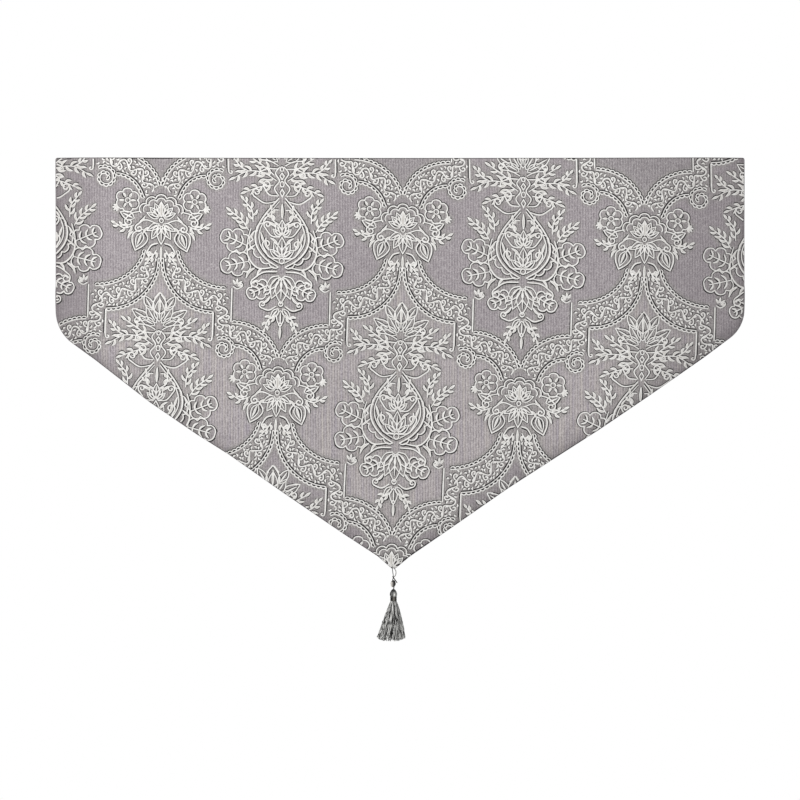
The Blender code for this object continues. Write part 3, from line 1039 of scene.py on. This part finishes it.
# %% Thickness and soft rim
thicken = cloth.modifiers.new("thickness", "SOLIDIFY")
thicken.thickness = CLOTH_THICK
thicken.offset = 0
rounding = cloth.modifiers.new("soft rim", "BEVEL")
rounding.width = 0.7 * MM
rounding.segments = 2
rounding.limit_method = "ANGLE"
rounding.angle_limit = math.radians(50)
apply_modifiers(cloth)
bpy.ops.object.shade_smooth_by_angle(angle=math.radians(60))
print("cloth:", sum(len(face.vertices) - 2 for face in cloth.data.polygons), "triangles")

# %% [markdown]
# ## Where the weave changes
# The cloth has three weaves: a plain speckled ground in every other large frame, a finely striped ground
# in the frames between, and a closer, darker weave in the bands and under the motifs. Each cloth point
# stores how much it has of each. How close it lies to the figure comes from a map of all the strands,
# blurred by a few millimetres.

# %% The frame's shape, and the weave at each point of the cloth
NEXT_CROSSING = (221.5, -311.7)
BELOW = [(NEXT_CROSSING[0] - x, NEXT_CROSSING[1] + y) for x, y in UPPER_NEAR + UPPER_FAR]
FRAME_HALF = [(0, -72)] + LOWER_NEAR + [(99, -214)] + LOWER_FAR + BELOW


def to_local(points, place):
    """Cloth millimetres turned back into a motif's own right and up."""
    basis = np.linalg.inv(np.stack([ALONG, UPWARDS], 1))
    return (points - pulled(points) - place) @ basis.T


def figure_closeness(points):
    """How close the strands lie round each point: 0 where there are none, 1 in a dense motif."""
    cell = 2.0
    wide = int(1280 / cell)
    high = int(780 / cell)
    spots = np.vstack([line for strands in figure.values() for line, width, closed in strands])
    weights = np.concatenate([width for strands in figure.values() for line, width, closed in strands])
    edges = [np.arange(wide + 1) * cell - 640, np.arange(high + 1) * cell - 770]
    density = np.histogram2d(spots[:, 0], spots[:, 1], bins=edges, weights=weights)[0]
    reach = np.arange(-8, 9)
    kernel = np.exp(-(reach * cell / 7.0) ** 2)
    kernel /= kernel.sum()
    for axis in (0, 1):
        density = np.apply_along_axis(np.convolve, axis, density, kernel, "same")
    ix = np.clip(((points[:, 0] + 640) / cell).astype(int), 0, wide - 1)
    iz = np.clip(((points[:, 1] + 770) / cell).astype(int), 0, high - 1)
    return np.clip(density[ix, iz] * STEP / cell / cell / 0.42, 0, 1)


# %% Storing the weave on the cloth
spots = np.empty(len(cloth.data.vertices) * 3)
cloth.data.vertices.foreach_get("co", spots)
spots = spots.reshape(-1, 3)
flat_spots = spots[:, [0, 2]] / MM
outline = FRAME_HALF + [(-x, y) for x, y in reversed(FRAME_HALF)]
weave = {"open": np.zeros(len(spots)), "striped": np.zeros(len(spots))}
for repeat in PLACES:
    local = to_local(flat_spots, repeat["place"])
    weave[repeat["kind"]][inside_corners(local, outline)] = 1.0
closeness = figure_closeness(flat_spots)
marks = np.ones((len(spots), 4))
marks[:, 0] = weave["open"]
marks[:, 1] = weave["striped"]
marks[:, 2] = closeness
weave_attribute = cloth.data.attributes.new("weave", "FLOAT_COLOR", "POINT")
weave_attribute.data.foreach_set("color", marks.ravel())
print("open weave", round(weave["open"].mean(), 3), "striped", round(weave["striped"].mean(), 3))
print("closeness", round(float(closeness.mean()), 3))

# %% Storing the shade
# Painted shade: darker close to the rim and towards both ends; the third part marks the reverse side.
above_edge = (spots[:, 2] - lower_edge(spots[:, 0])) * math.cos(EDGE_SLOPE)
edge_gap = np.minimum(HALF - np.abs(spots[:, 0]), above_edge)
edge_shade = np.exp(-np.maximum(edge_gap, 0) / (11 * MM))
middle_depth = sheet_depth(spots[:, 0], spots[:, 2]) - crease_lift(spots[:, 0], spots[:, 2])
reverse = (spots[:, 1] > middle_depth).astype(float)
shades = np.ones((len(spots), 4))
shades[:, 0] = edge_shade
shades[:, 1] = side_shade(spots[:, 0])
shades[:, 2] = reverse
shade_attribute = cloth.data.attributes.new("shade", "FLOAT_COLOR", "POINT")
shade_attribute.data.foreach_set("color", shades.ravel())
print("reverse side share", round(float(reverse.mean()), 3))

# %% [markdown]
# ## Shared effects for the materials
# Yarn is never one flat colour. One node group gives any thread or cloth a fine unevenness, stretched
# along the way the yarn runs. It puts out a mask, and each material decides what the mask does.


# %% A helper for node trees
def node(tree, kind, values=None, **settings):
    """Add a node, set its own settings, and give its inputs their values."""
    made = tree.nodes.new(kind)
    for key, value in settings.items():
        setattr(made, key, value)
    for key, value in (values or {}).items():
        if isinstance(value, bpy.types.NodeSocket):
            tree.links.new(value, made.inputs[key])
        else:
            made.inputs[key].default_value = value
    return made


def mix_colours(tree, factor, first, second, blend="MIX"):
    """The colour between two colours; blend is how they are put together."""
    mixer = tree.nodes.new("ShaderNodeMix")
    mixer.data_type = "RGBA"
    mixer.blend_type = blend
    for socket, value in ((mixer.inputs[0], factor), (mixer.inputs[6], first), (mixer.inputs[7], second)):
        if isinstance(value, bpy.types.NodeSocket):
            tree.links.new(value, socket)
        else:
            socket.default_value = value
    return mixer.outputs[2]


def calculate(tree, operation, first, second=0.0, third=0.0):
    maths = tree.nodes.new("ShaderNodeMath")
    maths.operation = operation
    for socket, value in zip(maths.inputs, (first, second, third)):
        if isinstance(value, bpy.types.NodeSocket):
            tree.links.new(value, socket)
        else:
            socket.default_value = value
    return maths.outputs[0]


def spread(tree, value, low, high, out_low=0.0, out_high=1.0):
    """Stretch a value's range to another range, and keep it inside."""
    ranger = node(tree, "ShaderNodeMapRange", {0: value, 1: low, 2: high, 3: out_low, 4: out_high})
    return ranger.outputs[0]


# %% Group: uneven yarn
uneven_yarn = bpy.data.node_groups.new("uneven_yarn", "ShaderNodeTree")
uneven_yarn.interface.new_socket("Across", in_out="INPUT", socket_type="NodeSocketVector")
uneven_yarn.interface.new_socket("Fineness", in_out="INPUT", socket_type="NodeSocketFloat")
uneven_yarn.interface.new_socket("Mask", in_out="OUTPUT", socket_type="NodeSocketFloat")
yarn_in = uneven_yarn.nodes.new("NodeGroupInput")
yarn_out = uneven_yarn.nodes.new("NodeGroupOutput")
yarn_noise = node(
    uneven_yarn, "ShaderNodeTexNoise",
    {
        "Vector": yarn_in.outputs["Across"],
        "Scale": yarn_in.outputs["Fineness"],
        "Detail": 3.0,
        "Roughness": 0.65,
    },
)
yarn_mask = spread(uneven_yarn, yarn_noise.outputs["Fac"], 0.3, 0.7)
uneven_yarn.links.new(yarn_mask, yarn_out.inputs["Mask"])
print("group", uneven_yarn.name, "with", len(uneven_yarn.nodes), "nodes")


def stretched_place(tree, stretch):
    """Object coordinates, stretched so that a pattern runs long along some axis."""
    place = node(tree, "ShaderNodeTexCoord")
    mapping = node(tree, "ShaderNodeMapping", {"Vector": place.outputs["Object"], "Scale": stretch})
    return mapping.outputs["Vector"]


def yarn_mask_of(tree, stretch, fineness):
    yarn = node(tree, "ShaderNodeGroup", node_tree=uneven_yarn)
    tree.links.new(stretched_place(tree, stretch), yarn.inputs["Across"])
    yarn.inputs["Fineness"].default_value = fineness
    return yarn.outputs["Mask"]


def new_material(name, roughness, sheen=0.0):
    """A material with its Principled shader, and the plain socket values that stay the same all over."""
    material = bpy.data.materials.new(name)
    material.use_nodes = True
    shader = material.node_tree.nodes["Principled BSDF"]
    shader.inputs["Roughness"].default_value = roughness
    shader.inputs["Sheen Weight"].default_value = sheen
    shader.inputs["Sheen Roughness"].default_value = 0.4
    shader.inputs["Specular IOR Level"].default_value = 0.35
    return material, material.node_tree, shader


# %% [markdown]
# ## The cloth's material
# Read from the photo-like distance, the ground is a dusty lilac grey. Close up it is a mix of warm and
# cool yarns: fine upright ribs, specks where one yarn crosses another, and in the striped frames soft
# bands of pink, beige and blue grey. The closer weave near the figure is darker and a little green.

# %% Cloth material
cloth_material, tree, shader = new_material("damask_ground", 0.78, 0.12)
weave_mark = node(tree, "ShaderNodeAttribute", attribute_name="weave")
weave_parts = node(tree, "ShaderNodeSeparateColor", {"Color": weave_mark.outputs["Color"]})
shade_mark = node(tree, "ShaderNodeAttribute", attribute_name="shade")
shade_parts = node(tree, "ShaderNodeSeparateColor", {"Color": shade_mark.outputs["Color"]})
is_open, is_striped, is_close = weave_parts.outputs
rim_painted_shade, ends_painted_shade, at_back = shade_parts.outputs

band_ground = screen_colour(162, 156, 157)
open_ground = screen_colour(170, 162, 165)
striped_ground = screen_colour(184, 177, 178)
close_ground = screen_colour(163, 160, 155)

ground = mix_colours(tree, is_open, band_ground, open_ground)
stripes = yarn_mask_of(tree, (1.0, 1.0, 0.03), 150.0)
stripe_tint = mix_colours(tree, stripes, screen_colour(170, 162, 171), screen_colour(206, 198, 190))
striped = mix_colours(tree, 0.85, striped_ground, stripe_tint)
ground = mix_colours(tree, is_striped, ground, striped)
ground = mix_colours(tree, spread(tree, is_close, 0.15, 0.9, 0.0, 0.85), ground, close_ground)

ribs = yarn_mask_of(tree, (1.0, 1.0, 0.10), 700.0)
rib_place = stretched_place(tree, (1.0, 1.0, 1.0))
rib_values = {"Vector": rib_place, "Scale": 64.0, "Distortion": 1.6, "Detail": 2.0}
wide_ribs = node(tree, "ShaderNodeTexWave", rib_values)
wide_ribs = wide_ribs.outputs["Fac"]
specks = yarn_mask_of(tree, (1.0, 1.0, 0.5), 620.0)
dark_specks = yarn_mask_of(tree, (1.1, 1.0, 0.9), 560.0)
clouds = yarn_mask_of(tree, (1.0, 1.0, 0.7), 9.0)
flat_place = stretched_place(tree, (1.0, 0.0, 1.0))
one_cell = node(tree, "ShaderNodeVectorMath", {0: flat_place, 1: (0.0014, 1.0, 0.0016)}, operation="SNAP")
cell_tone = node(tree, "ShaderNodeTexWhiteNoise", {"Vector": one_cell.outputs[0]}).outputs["Value"]
one_dash = node(tree, "ShaderNodeVectorMath", {0: flat_place, 1: (0.0025, 1.0, 0.0042)}, operation="SNAP")
dash_tone = node(tree, "ShaderNodeTexWhiteNoise", {"Vector": one_dash.outputs[0]}).outputs["Value"]
rib_depth = calculate(tree, "MULTIPLY", wide_ribs, spread(tree, dash_tone, 0.0, 1.0, 0.45, 1.0))
ground = mix_colours(tree, spread(tree, ribs, 0.2, 0.8, 0.0, 0.1), ground, screen_colour(118, 109, 116))
ground = mix_colours(tree, spread(tree, rib_depth, 0.0, 1.0, 0.0, 0.68), ground, screen_colour(104, 96, 102))
dark_share = spread(tree, dark_specks, 0.55, 0.85, 0.0, 0.08)
ground = mix_colours(tree, dark_share, ground, screen_colour(70, 62, 66))
ground = mix_colours(tree, spread(tree, specks, 0.5, 0.85, 0.0, 0.1), ground, screen_colour(240, 234, 232))
ground = mix_colours(tree, spread(tree, cell_tone, 0.0, 0.45, 0.26, 0.0), ground, screen_colour(84, 76, 80))
ground = mix_colours(tree, spread(tree, cell_tone, 0.6, 1.0, 0.0, 0.26), ground, screen_colour(244, 238, 236))
ground = mix_colours(tree, spread(tree, clouds, 0.0, 1.0, 0.0, 0.1), ground, screen_colour(120, 112, 116))
# Painted shade: darker towards both ends and close to the rim.
ground = mix_colours(tree, calculate(tree, "MULTIPLY", ends_painted_shade, 0.34), ground, screen_colour(104, 96, 100))
ground = mix_colours(tree, calculate(tree, "MULTIPLY", rim_painted_shade, 0.55), ground, screen_colour(88, 82, 84))
plain_back = mix_colours(tree, ribs, screen_colour(150, 144, 144), screen_colour(176, 171, 168))
ground = mix_colours(tree, at_back, ground, plain_back)
tree.links.new(ground, shader.inputs["Base Color"])
rough = spread(tree, specks, 0.0, 1.0, 0.82, 0.66)
tree.links.new(rough, shader.inputs["Roughness"])
weave_height = calculate(tree, "ADD", calculate(tree, "MULTIPLY", ribs, 0.6), specks)
weave_bump = node(tree, "ShaderNodeBump", {"Height": weave_height, "Strength": 0.5, "Distance": 0.0003})
tree.links.new(weave_bump.outputs["Normal"], shader.inputs["Normal"])
cloth.data.materials.append(cloth_material)
print("cloth material:", len(tree.nodes), "nodes")

# %% Figure material
figure_material, tree, shader = new_material("damask_figure_thread", 0.55, 0.25)
edge_mark = node(tree, "ShaderNodeAttribute", attribute_name="from_edge")
from_edge = edge_mark.outputs["Fac"]
fine = yarn_mask_of(tree, (1.0, 1.0, 1.0), 900.0)
patches = yarn_mask_of(tree, (1.0, 1.0, 1.0), 120.0)
light = mix_colours(tree, patches, screen_colour(226, 223, 218), screen_colour(255, 253, 250))
light = mix_colours(tree, spread(tree, fine, 0.0, 1.0, 0.0, 0.28), light, screen_colour(190, 186, 180))
filled = mix_colours(tree, fine, screen_colour(170, 166, 160), screen_colour(226, 222, 216))
light = mix_colours(tree, spread(tree, from_edge, 2.3, 2.9), light, filled)
# Painted shade towards both ends of the cloth darkens the light threads too.
shade_mark = node(tree, "ShaderNodeAttribute", attribute_name="side_shade")
shade_share = calculate(tree, "MULTIPLY", shade_mark.outputs["Fac"], 0.3)
light = mix_colours(tree, shade_share, light, screen_colour(150, 145, 142))
outline_dark = screen_colour(26, 23, 25)
colour = mix_colours(tree, spread(tree, from_edge, 0.45, 0.85), outline_dark, light)
tree.links.new(colour, shader.inputs["Base Color"])
tree.links.new(spread(tree, fine, 0.0, 1.0, 0.45, 0.65), shader.inputs["Roughness"])
thread_bump = node(tree, "ShaderNodeBump", {"Height": fine, "Strength": 0.4, "Distance": 0.0002})
tree.links.new(thread_bump.outputs["Normal"], shader.inputs["Normal"])
for piece in figure_pieces:
    piece.data.materials.append(figure_material)
print("figure material:", len(tree.nodes), "nodes")

# %% [markdown]
# ## Cord and knot
# A fine cord of two plies goes through the tip in a loop and is tied off in one knot. Each ply is a tube
# that winds round the cord's own line. The knot is a core with the cord's turns on it, at different
# slants.

# %% Routes below the tip
TIP = Vector((TIP_X, float(sheet_depth(np.array(TIP_X), np.array(TIP_Z))), TIP_Z))
HEAD_TOP = TIP - Vector((0, 0, 38.2 * MM))
LOOP_MM = (
    (-1.6, -0.6), (-1.9, 1.15), (-1.8, 3.0), (-1.3, 7.0), (-0.8, 11.0), (-0.2, 14.5), (0.5, 16.0),
    (2.0, 15.2), (3.8, 12.6), (4.6, 9.0), (4.4, 5.5), (3.2, 2.8), (2.1, 1.15), (1.5, -0.6),
)
STEM_MM = ((0.4, 15.8), (-0.6, 18.6), (-1.6, 21.6), (-1.2, 25.0))
TAIL_MM = ((-1.8, 15.0), (0.0, 17.4), (2.6, 21.0), (5.4, 24.8), (6.6, 26.6))
LINK_MM = ((0.4, 31.0), (0.8, 33.0), (0.7, 35.0), (0.0, 39.0))


def below_tip(rows_mm, depth_mm=0.0, step=0.45):
    """A smooth route from rows of right and down in millimetres, under the cloth's tip."""
    flat = smooth_line([(right, -drop) for right, drop in rows_mm], step=step)
    return [TIP + Vector((x, depth_mm, z)) * MM for x, z in flat]


def frames_along(route):
    """Two sideways directions at each point of a route, turned as little as possible."""
    aside = Vector((0.0, -1.0, 0.0))
    frames = []
    for number, place in enumerate(route):
        ahead = route[min(number + 1, len(route) - 1)] - route[max(number - 1, 0)]
        ahead.normalize()
        aside = (aside - ahead * aside.dot(ahead)).normalized()
        frames.append((aside.copy(), ahead.cross(aside)))
    return frames


def plies(route, radius, turn_length, count=2):
    """The plies of a twisted cord: each one winds round the cord's line."""
    wound = [[] for _ in range(count)]
    travelled = 0.0
    for number, (place, (first, second)) in enumerate(zip(route, frames_along(route))):
        if number:
            travelled += (place - route[number - 1]).length
        for ply in range(count):
            angle = math.tau * (travelled / turn_length + ply / count)
            out = first * math.cos(angle) + second * math.sin(angle)
            wound[ply].append(place + out * radius * 0.45)
    return wound


def tubes(name, routes, radii, sides=6, cyclic=False):
    """Round tubes along routes of points, all in one mesh."""
    curve = bpy.data.curves.new(name, "CURVE")
    curve.dimensions = "3D"
    curve.bevel_depth = 1.0
    curve.bevel_resolution = (sides - 4) // 2
    curve.use_fill_caps = not cyclic
    for route, radius in zip(routes, radii):
        spline = curve.splines.new("POLY")
        spline.points.add(len(route) - 1)
        spline.use_cyclic_u = cyclic
        spline.points.foreach_set("co", [part for place in route for part in (*place, 1.0)])
        sizes = radius if hasattr(radius, "__len__") else [radius] * len(route)
        spline.points.foreach_set("radius", sizes)
    piece = bpy.data.objects.new(name, curve)
    bpy.context.scene.collection.objects.link(piece)
    select_only(piece)
    bpy.ops.object.convert(target="MESH")
    piece = bpy.context.object
    bpy.ops.object.shade_smooth()
    return piece


def join_into(name, parts):
    """Join meshes into one object."""
    select_only(parts[0])
    for part in parts[1:]:
        part.select_set(True)
    bpy.ops.object.join()
    joined = bpy.context.object
    joined.name = name
    return joined


# %% The cord's loop, stem, free end and link
cord_parts = []
for name, rows, radius, depth in (
    ("loop", LOOP_MM, 0.80 * MM, 0.0),
    ("stem", STEM_MM, 0.85 * MM, 0.2),
    ("free_end", TAIL_MM, 1.00 * MM, -0.9),
    ("link", LINK_MM, 1.10 * MM, 0.1),
):
    strands = plies(below_tip(rows, depth), radius, radius * 4.2)
    cord_parts.append(tubes(name, strands, [radius * 0.62] * len(strands)))
print("cord parts:", len(cord_parts))

# %% The knot
KNOT = TIP + Vector((-0.7, 0.0, -28.4)) * MM
KNOT_TURNS = (
    {"across": 3.9, "high": 5.4, "tilt": 16, "twist": 37, "flat": 3.2},
    {"across": 3.7, "high": 4.6, "tilt": -41, "twist": -46, "flat": 3.0},
    {"across": 3.9, "high": 5.2, "tilt": -8, "twist": 78, "flat": 2.9},
    {"across": 3.8, "high": 3.4, "tilt": 24, "twist": -12, "flat": 2.6},
)
bpy.ops.mesh.primitive_uv_sphere_add(segments=24, ring_count=14, radius=1.0)
knot_core = bpy.context.object
knot_core.data.transform(Matrix.Diagonal((3.9 * MM, 3.2 * MM, 5.3 * MM, 1.0)))
knot_core.data.transform(Matrix.Translation(KNOT))
bpy.ops.object.shade_smooth()
knot_parts = [knot_core]
for turn in KNOT_TURNS:
    twist = Matrix.Rotation(math.radians(turn["twist"]), 3, "Z")
    lean = twist @ Matrix.Rotation(math.radians(turn["tilt"]), 3, "Y")
    route = []
    for step in range(61):
        angle = math.tau * step / 60
        flat = Vector((turn["across"] * math.cos(angle), 0, turn["high"] * math.sin(angle)))
        route.append(KNOT + lean @ flat * MM)
    strands = plies(route, 1.45 * MM, 5.6 * MM, 3)
    knot_parts.append(tubes("knot_turn", strands, [0.78 * MM] * len(strands)))
cord = join_into("knotted_cord", cord_parts + knot_parts)
print("cord:", sum(len(face.vertices) - 2 for face in cord.data.polygons), "triangles")

# %% [markdown]
# ## The tassel's head and neck
# A tassel starts as a hank of thread, folded over the cord. The head is where the threads turn over. A
# thread wound tightly round and round makes the neck. So the head is a ring of thick threads on a core,
# and the neck is one long helix.

# %% Head
HEAD_PROFILE = (
    (0.0, 0.3), (0.5, 1.7), (2.0, 3.1), (4.5, 4.6), (7.5, 5.7),
    (10.0, 6.1), (12.0, 5.7), (13.4, 4.5), (15.0, 4.2),
)
HEAD_THREADS = 38


def head_thread(number):
    """One thread over the head: up from the neck, nearly to the middle of the top."""
    turn = math.tau * number / HEAD_THREADS
    uneven = 1 + 0.03 * math.sin(number * 2.7)
    flat = smooth_line([(drop, radius) for drop, radius in HEAD_PROFILE], step=0.8)
    route = []
    for drop, radius in flat:
        angle = turn + 0.10 * math.sin(drop * 0.32 + number)
        out = radius * uneven
        route.append(HEAD_TOP + Vector((out * math.cos(angle), out * math.sin(angle), -drop)) * MM)
    return route


bpy.ops.mesh.primitive_uv_sphere_add(segments=24, ring_count=14, radius=1.0)
head_core = bpy.context.object
head_core.data.transform(Matrix.Diagonal((5.7 * MM, 5.7 * MM, 7.2 * MM, 1.0)))
head_core.data.transform(Matrix.Translation(HEAD_TOP - Vector((0, 0, 7.7 * MM))))
bpy.ops.mesh.primitive_cylinder_add(vertices=24, radius=4.4 * MM, depth=14 * MM)
neck_core = bpy.context.object
neck_core.data.transform(Matrix.Translation(HEAD_TOP - Vector((0, 0, 18 * MM))))
head_routes = [head_thread(number) for number in range(HEAD_THREADS)]
head_radii = []
for route in head_routes:
    reach = [math.hypot(place.x - HEAD_TOP.x, place.y - HEAD_TOP.y) for place in route]
    head_radii.append([max(0.10 * MM, min(0.62 * MM, out * 0.125)) for out in reach])
head_threads = tubes("head_threads", head_routes, head_radii, 6)
print("head threads:", HEAD_THREADS)

# %% Winding round the neck
WINDING_TURNS = 9
winding_route = []
for step in range(WINDING_TURNS * 20 + 1):
    share = step / (WINDING_TURNS * 20)
    angle = math.tau * WINDING_TURNS * share
    radius = 5.45 * MM + 0.12 * MM * math.sin(9 * share)
    drop = (13.9 + 7.6 * share) * MM
    winding_route.append(HEAD_TOP + Vector((radius * math.cos(angle), radius * math.sin(angle), -drop)))
winding = tubes("neck_winding", [winding_route], [0.56 * MM], 8)
print("winding:", WINDING_TURNS, "turns")

# %% [markdown]
# ## The skirt
# The skirt is some hundreds of fine threads. They leave the neck close together, belly out over the
# shoulder and fan out to the hem, which is longest in the middle. No two threads lie alike: each one
# waves a little, and they cling in locks, with painted shade in the gaps between.

# %% Skirt threads
SKIRT_THREADS = 600
LOCKS = 36
lots = np.random.default_rng(7)
lock_lean = lots.normal(0, 1, (LOCKS, 2))
lock_tone = lots.choice((-0.1, 0.1, 0.6, 1.1, 1.3), LOCKS)
highlight_length = lots.uniform(16, 40, LOCKS)
highlight_start = lots.uniform(0, math.tau, LOCKS)


def skirt_thread(number):
    """One thread of the skirt, from the neck down to the hem."""
    lock = number % LOCKS
    angle = math.tau * (lock + lots.uniform(-0.4, 0.4)) / LOCKS
    reach = lots.uniform(0.02, 1.0) ** 0.22
    hem_drop = 97.0 - 8.0 * reach ** 2 + lots.normal(0, 0.5) + 0.5 * lock_lean[lock, 0]
    wave = lots.uniform(0.25, 0.75)
    pitch = lots.uniform(9, 17)
    turn = lots.uniform(0, math.tau)
    route = []
    steps = 13
    for step in range(steps):
        down = step / (steps - 1)
        drop = 21.3 + (hem_drop - 21.3) * down
        share = max(0.0, (drop - 26.5) / 71.0)
        shoulder = min(1.0, max(0.0, (drop - 21.3) / 5.2))
        rounded = 4.6 + (7.4 - 4.6) * math.sin(shoulder * math.pi / 2)
        fan = share + 0.05 * math.sin(math.pi * min(share, 1.0))
        half_width = rounded + (28.2 - 7.4) * fan
        half_depth = rounded + (16.2 - 7.4) * fan
        inwards = reach * (0.55 + 0.45 * min(1.0, share * 3)) + (1 - min(1.0, share * 3)) * 0.45 * reach
        sway = wave * math.sin(math.tau * drop / pitch + turn) * min(1.0, share * 5)
        x = inwards * math.cos(angle) * half_width + sway
        x += 0.35 * lock_lean[lock, 0] * share - 1.9 * share - 3.5 * share ** 2
        y = inwards * math.sin(angle) * half_depth + 0.6 * sway + 0.3 * lock_lean[lock, 1] * share
        route.append(HEAD_TOP + Vector((x, y, -drop)) * MM)
    return route


skirt_routes = [skirt_thread(number) for number in range(SKIRT_THREADS)]
skirt_sizes = lots.uniform(0.34, 0.56, SKIRT_THREADS) * MM
skirt_threads = tubes("skirt_threads", skirt_routes, list(skirt_sizes), 4)
per_thread = len(skirt_threads.data.vertices) // SKIRT_THREADS
print("skirt:", SKIRT_THREADS, "threads of", per_thread, "points")


# %% A tone for each thread
def store_tones(piece, tones):
    """Give every point of a mesh the tone of the thread it belongs to."""
    count = len(piece.data.vertices)
    each = count // len(tones)
    values = np.repeat(np.array(tones), each)
    values = np.resize(values, count)
    attribute = piece.data.attributes.new("tone", "FLOAT", "POINT")
    attribute.data.foreach_set("value", values)


def places_of(piece):
    """How far right of the tassel's middle each point lies, and how far below its top, in millimetres."""
    spots = np.empty(len(piece.data.vertices) * 3)
    piece.data.vertices.foreach_get("co", spots)
    spots = spots.reshape(-1, 3)
    return (spots[:, 0] - HEAD_TOP.x) / MM, (HEAD_TOP.z - spots[:, 2]) / MM


def skirt_tones():
    """Each lock is painted light or dark as a whole, with a painted highlight that comes and goes down its
    length; threads deep inside are painted dark, as shade.
    """
    right, drop = places_of(skirt_threads)
    thread = np.minimum(np.arange(len(right)) // per_thread, SKIRT_THREADS - 1)
    lock = thread % LOCKS
    shine = np.sin(math.tau * drop / highlight_length[lock] + highlight_start[lock])
    uneven = np.random.default_rng(5).uniform(-0.18, 0.18, SKIRT_THREADS)[thread]
    ends = [(route[-1] - HEAD_TOP) / MM for route in skirt_routes]
    out = [math.hypot(end.x + 5.4, end.y * 1.7) for end in ends]
    depth = np.clip((np.array(out)[thread] / 28 - 0.35) / 0.4, 0, 1)
    return (lock_tone[lock] + 0.65 * shine + uneven) * depth


def painted_highlight_across(piece, half_width, middle, breadth):
    """A painted highlight to the right of the tassel's middle, which falls off into painted shade towards
    both flanks.
    """
    right, drop = places_of(piece)
    return np.exp(-((right / half_width - middle) / breadth) ** 2)


def head_tones():
    """Bundles of threads painted light and dark in turn, under a painted highlight, and darker at the very
    top.
    """
    right, drop = places_of(head_threads)
    bundles = 0.5 + 0.5 * np.sin(9.0 * right / 6.4)
    return (0.7 * painted_highlight_across(head_threads, 6.4, 0.3, 0.6) + 0.4 * bundles) * np.clip(drop / 8 - 0.1, 0.1, 1)


def cord_tones():
    """The loop is dark, and darker on the left; the knot has painted light on its left and painted shade on
    its right.
    """
    right, drop = places_of(cord)
    below = drop + 38.2
    loop = np.where(right < 0.6, 0.25, 0.5)
    knot = np.clip(0.4 - right / 6, 0, 1) * np.where(below < 25, 0.3, 1.0)
    return np.where(below < 16.5, loop, np.where((below < 20) | (right > 3.2), 0.05, knot))


# The tones are painted light and shade: highlights and dark locks on the skirt and head, a highlight round
# the winding's middle, and light and shade on the knot; the hidden cores take the darkest tone, as shade
# between the threads.
store_tones(skirt_threads, np.clip(skirt_tones(), 0, 1))
store_tones(head_threads, np.clip(head_tones(), 0, 1))
for core in (head_core, neck_core):
    store_tones(core, [0.0])
store_tones(winding, 0.9 * painted_highlight_across(winding, 6.0, 0.15, 0.4))
store_tones(cord, cord_tones())
tassel = join_into("tassel_threads", [skirt_threads, head_threads, head_core, neck_core])
print("tassel:", sum(len(face.vertices) - 2 for face in tassel.data.polygons), "triangles")

# %% [markdown]
# ## Thread materials
# Tassel thread is rayon: smooth, with a silky shine, in a warm taupe grey. Its light and dark are painted
# highlight and painted shade, which the tone stored with each thread gives. The same recipe, darker, serves
# the winding, and lighter, the cord.


# %% One recipe for all thread
def thread_material(name, dark, light, roughness):
    material, tree, shader = new_material(name, roughness, 0.08)
    shader.inputs["Specular IOR Level"].default_value = 0.25
    tone = node(tree, "ShaderNodeAttribute", attribute_name="tone").outputs["Fac"]
    fine = yarn_mask_of(tree, (1.0, 1.0, 0.35), 1500.0)
    most = calculate(tree, "MULTIPLY", tone, 0.9)
    mixed = calculate(tree, "ADD", most, calculate(tree, "MULTIPLY", fine, 0.1))
    mixed = calculate(tree, "POWER", mixed, 2.0)
    colour = mix_colours(tree, mixed, dark, light)
    tree.links.new(colour, shader.inputs["Base Color"])
    uneven = spread(tree, fine, 0.0, 1.0, roughness - 0.08, roughness + 0.10)
    tree.links.new(uneven, shader.inputs["Roughness"])
    bump = node(tree, "ShaderNodeBump", {"Height": fine, "Strength": 0.35, "Distance": 0.0002})
    tree.links.new(bump.outputs["Normal"], shader.inputs["Normal"])
    return material


for piece, dark, light, roughness in (
    (tassel, screen_colour(6, 5, 4), screen_colour(255, 254, 250), 0.42),
    (winding, screen_colour(12, 11, 10), screen_colour(150, 145, 136), 0.38),
    (cord, screen_colour(22, 20, 18), screen_colour(236, 231, 224), 0.45),
):
    piece.data.materials.clear()
    piece.data.materials.append(thread_material(piece.name + "_thread", dark, light, roughness))
    for face in piece.data.polygons:
        face.material_index = 0
print("thread materials done")

# %% [markdown]
# ## Attaching the pieces
# Every piece rides on the one body of this object, and each solid that a piece stands for is hidden.
# The cloth is a hung sheet, cut to a point.

# %% Riding and replacing
STANDS_FOR = ((cloth, "panel"), (cord, "hanging_cord"), (tassel, "tassel"), (winding, "neck_binding"))
for piece, solid in STANDS_FOR:
    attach(piece, "root")
    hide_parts(solid)
for piece in figure_pieces:
    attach(piece, "root")
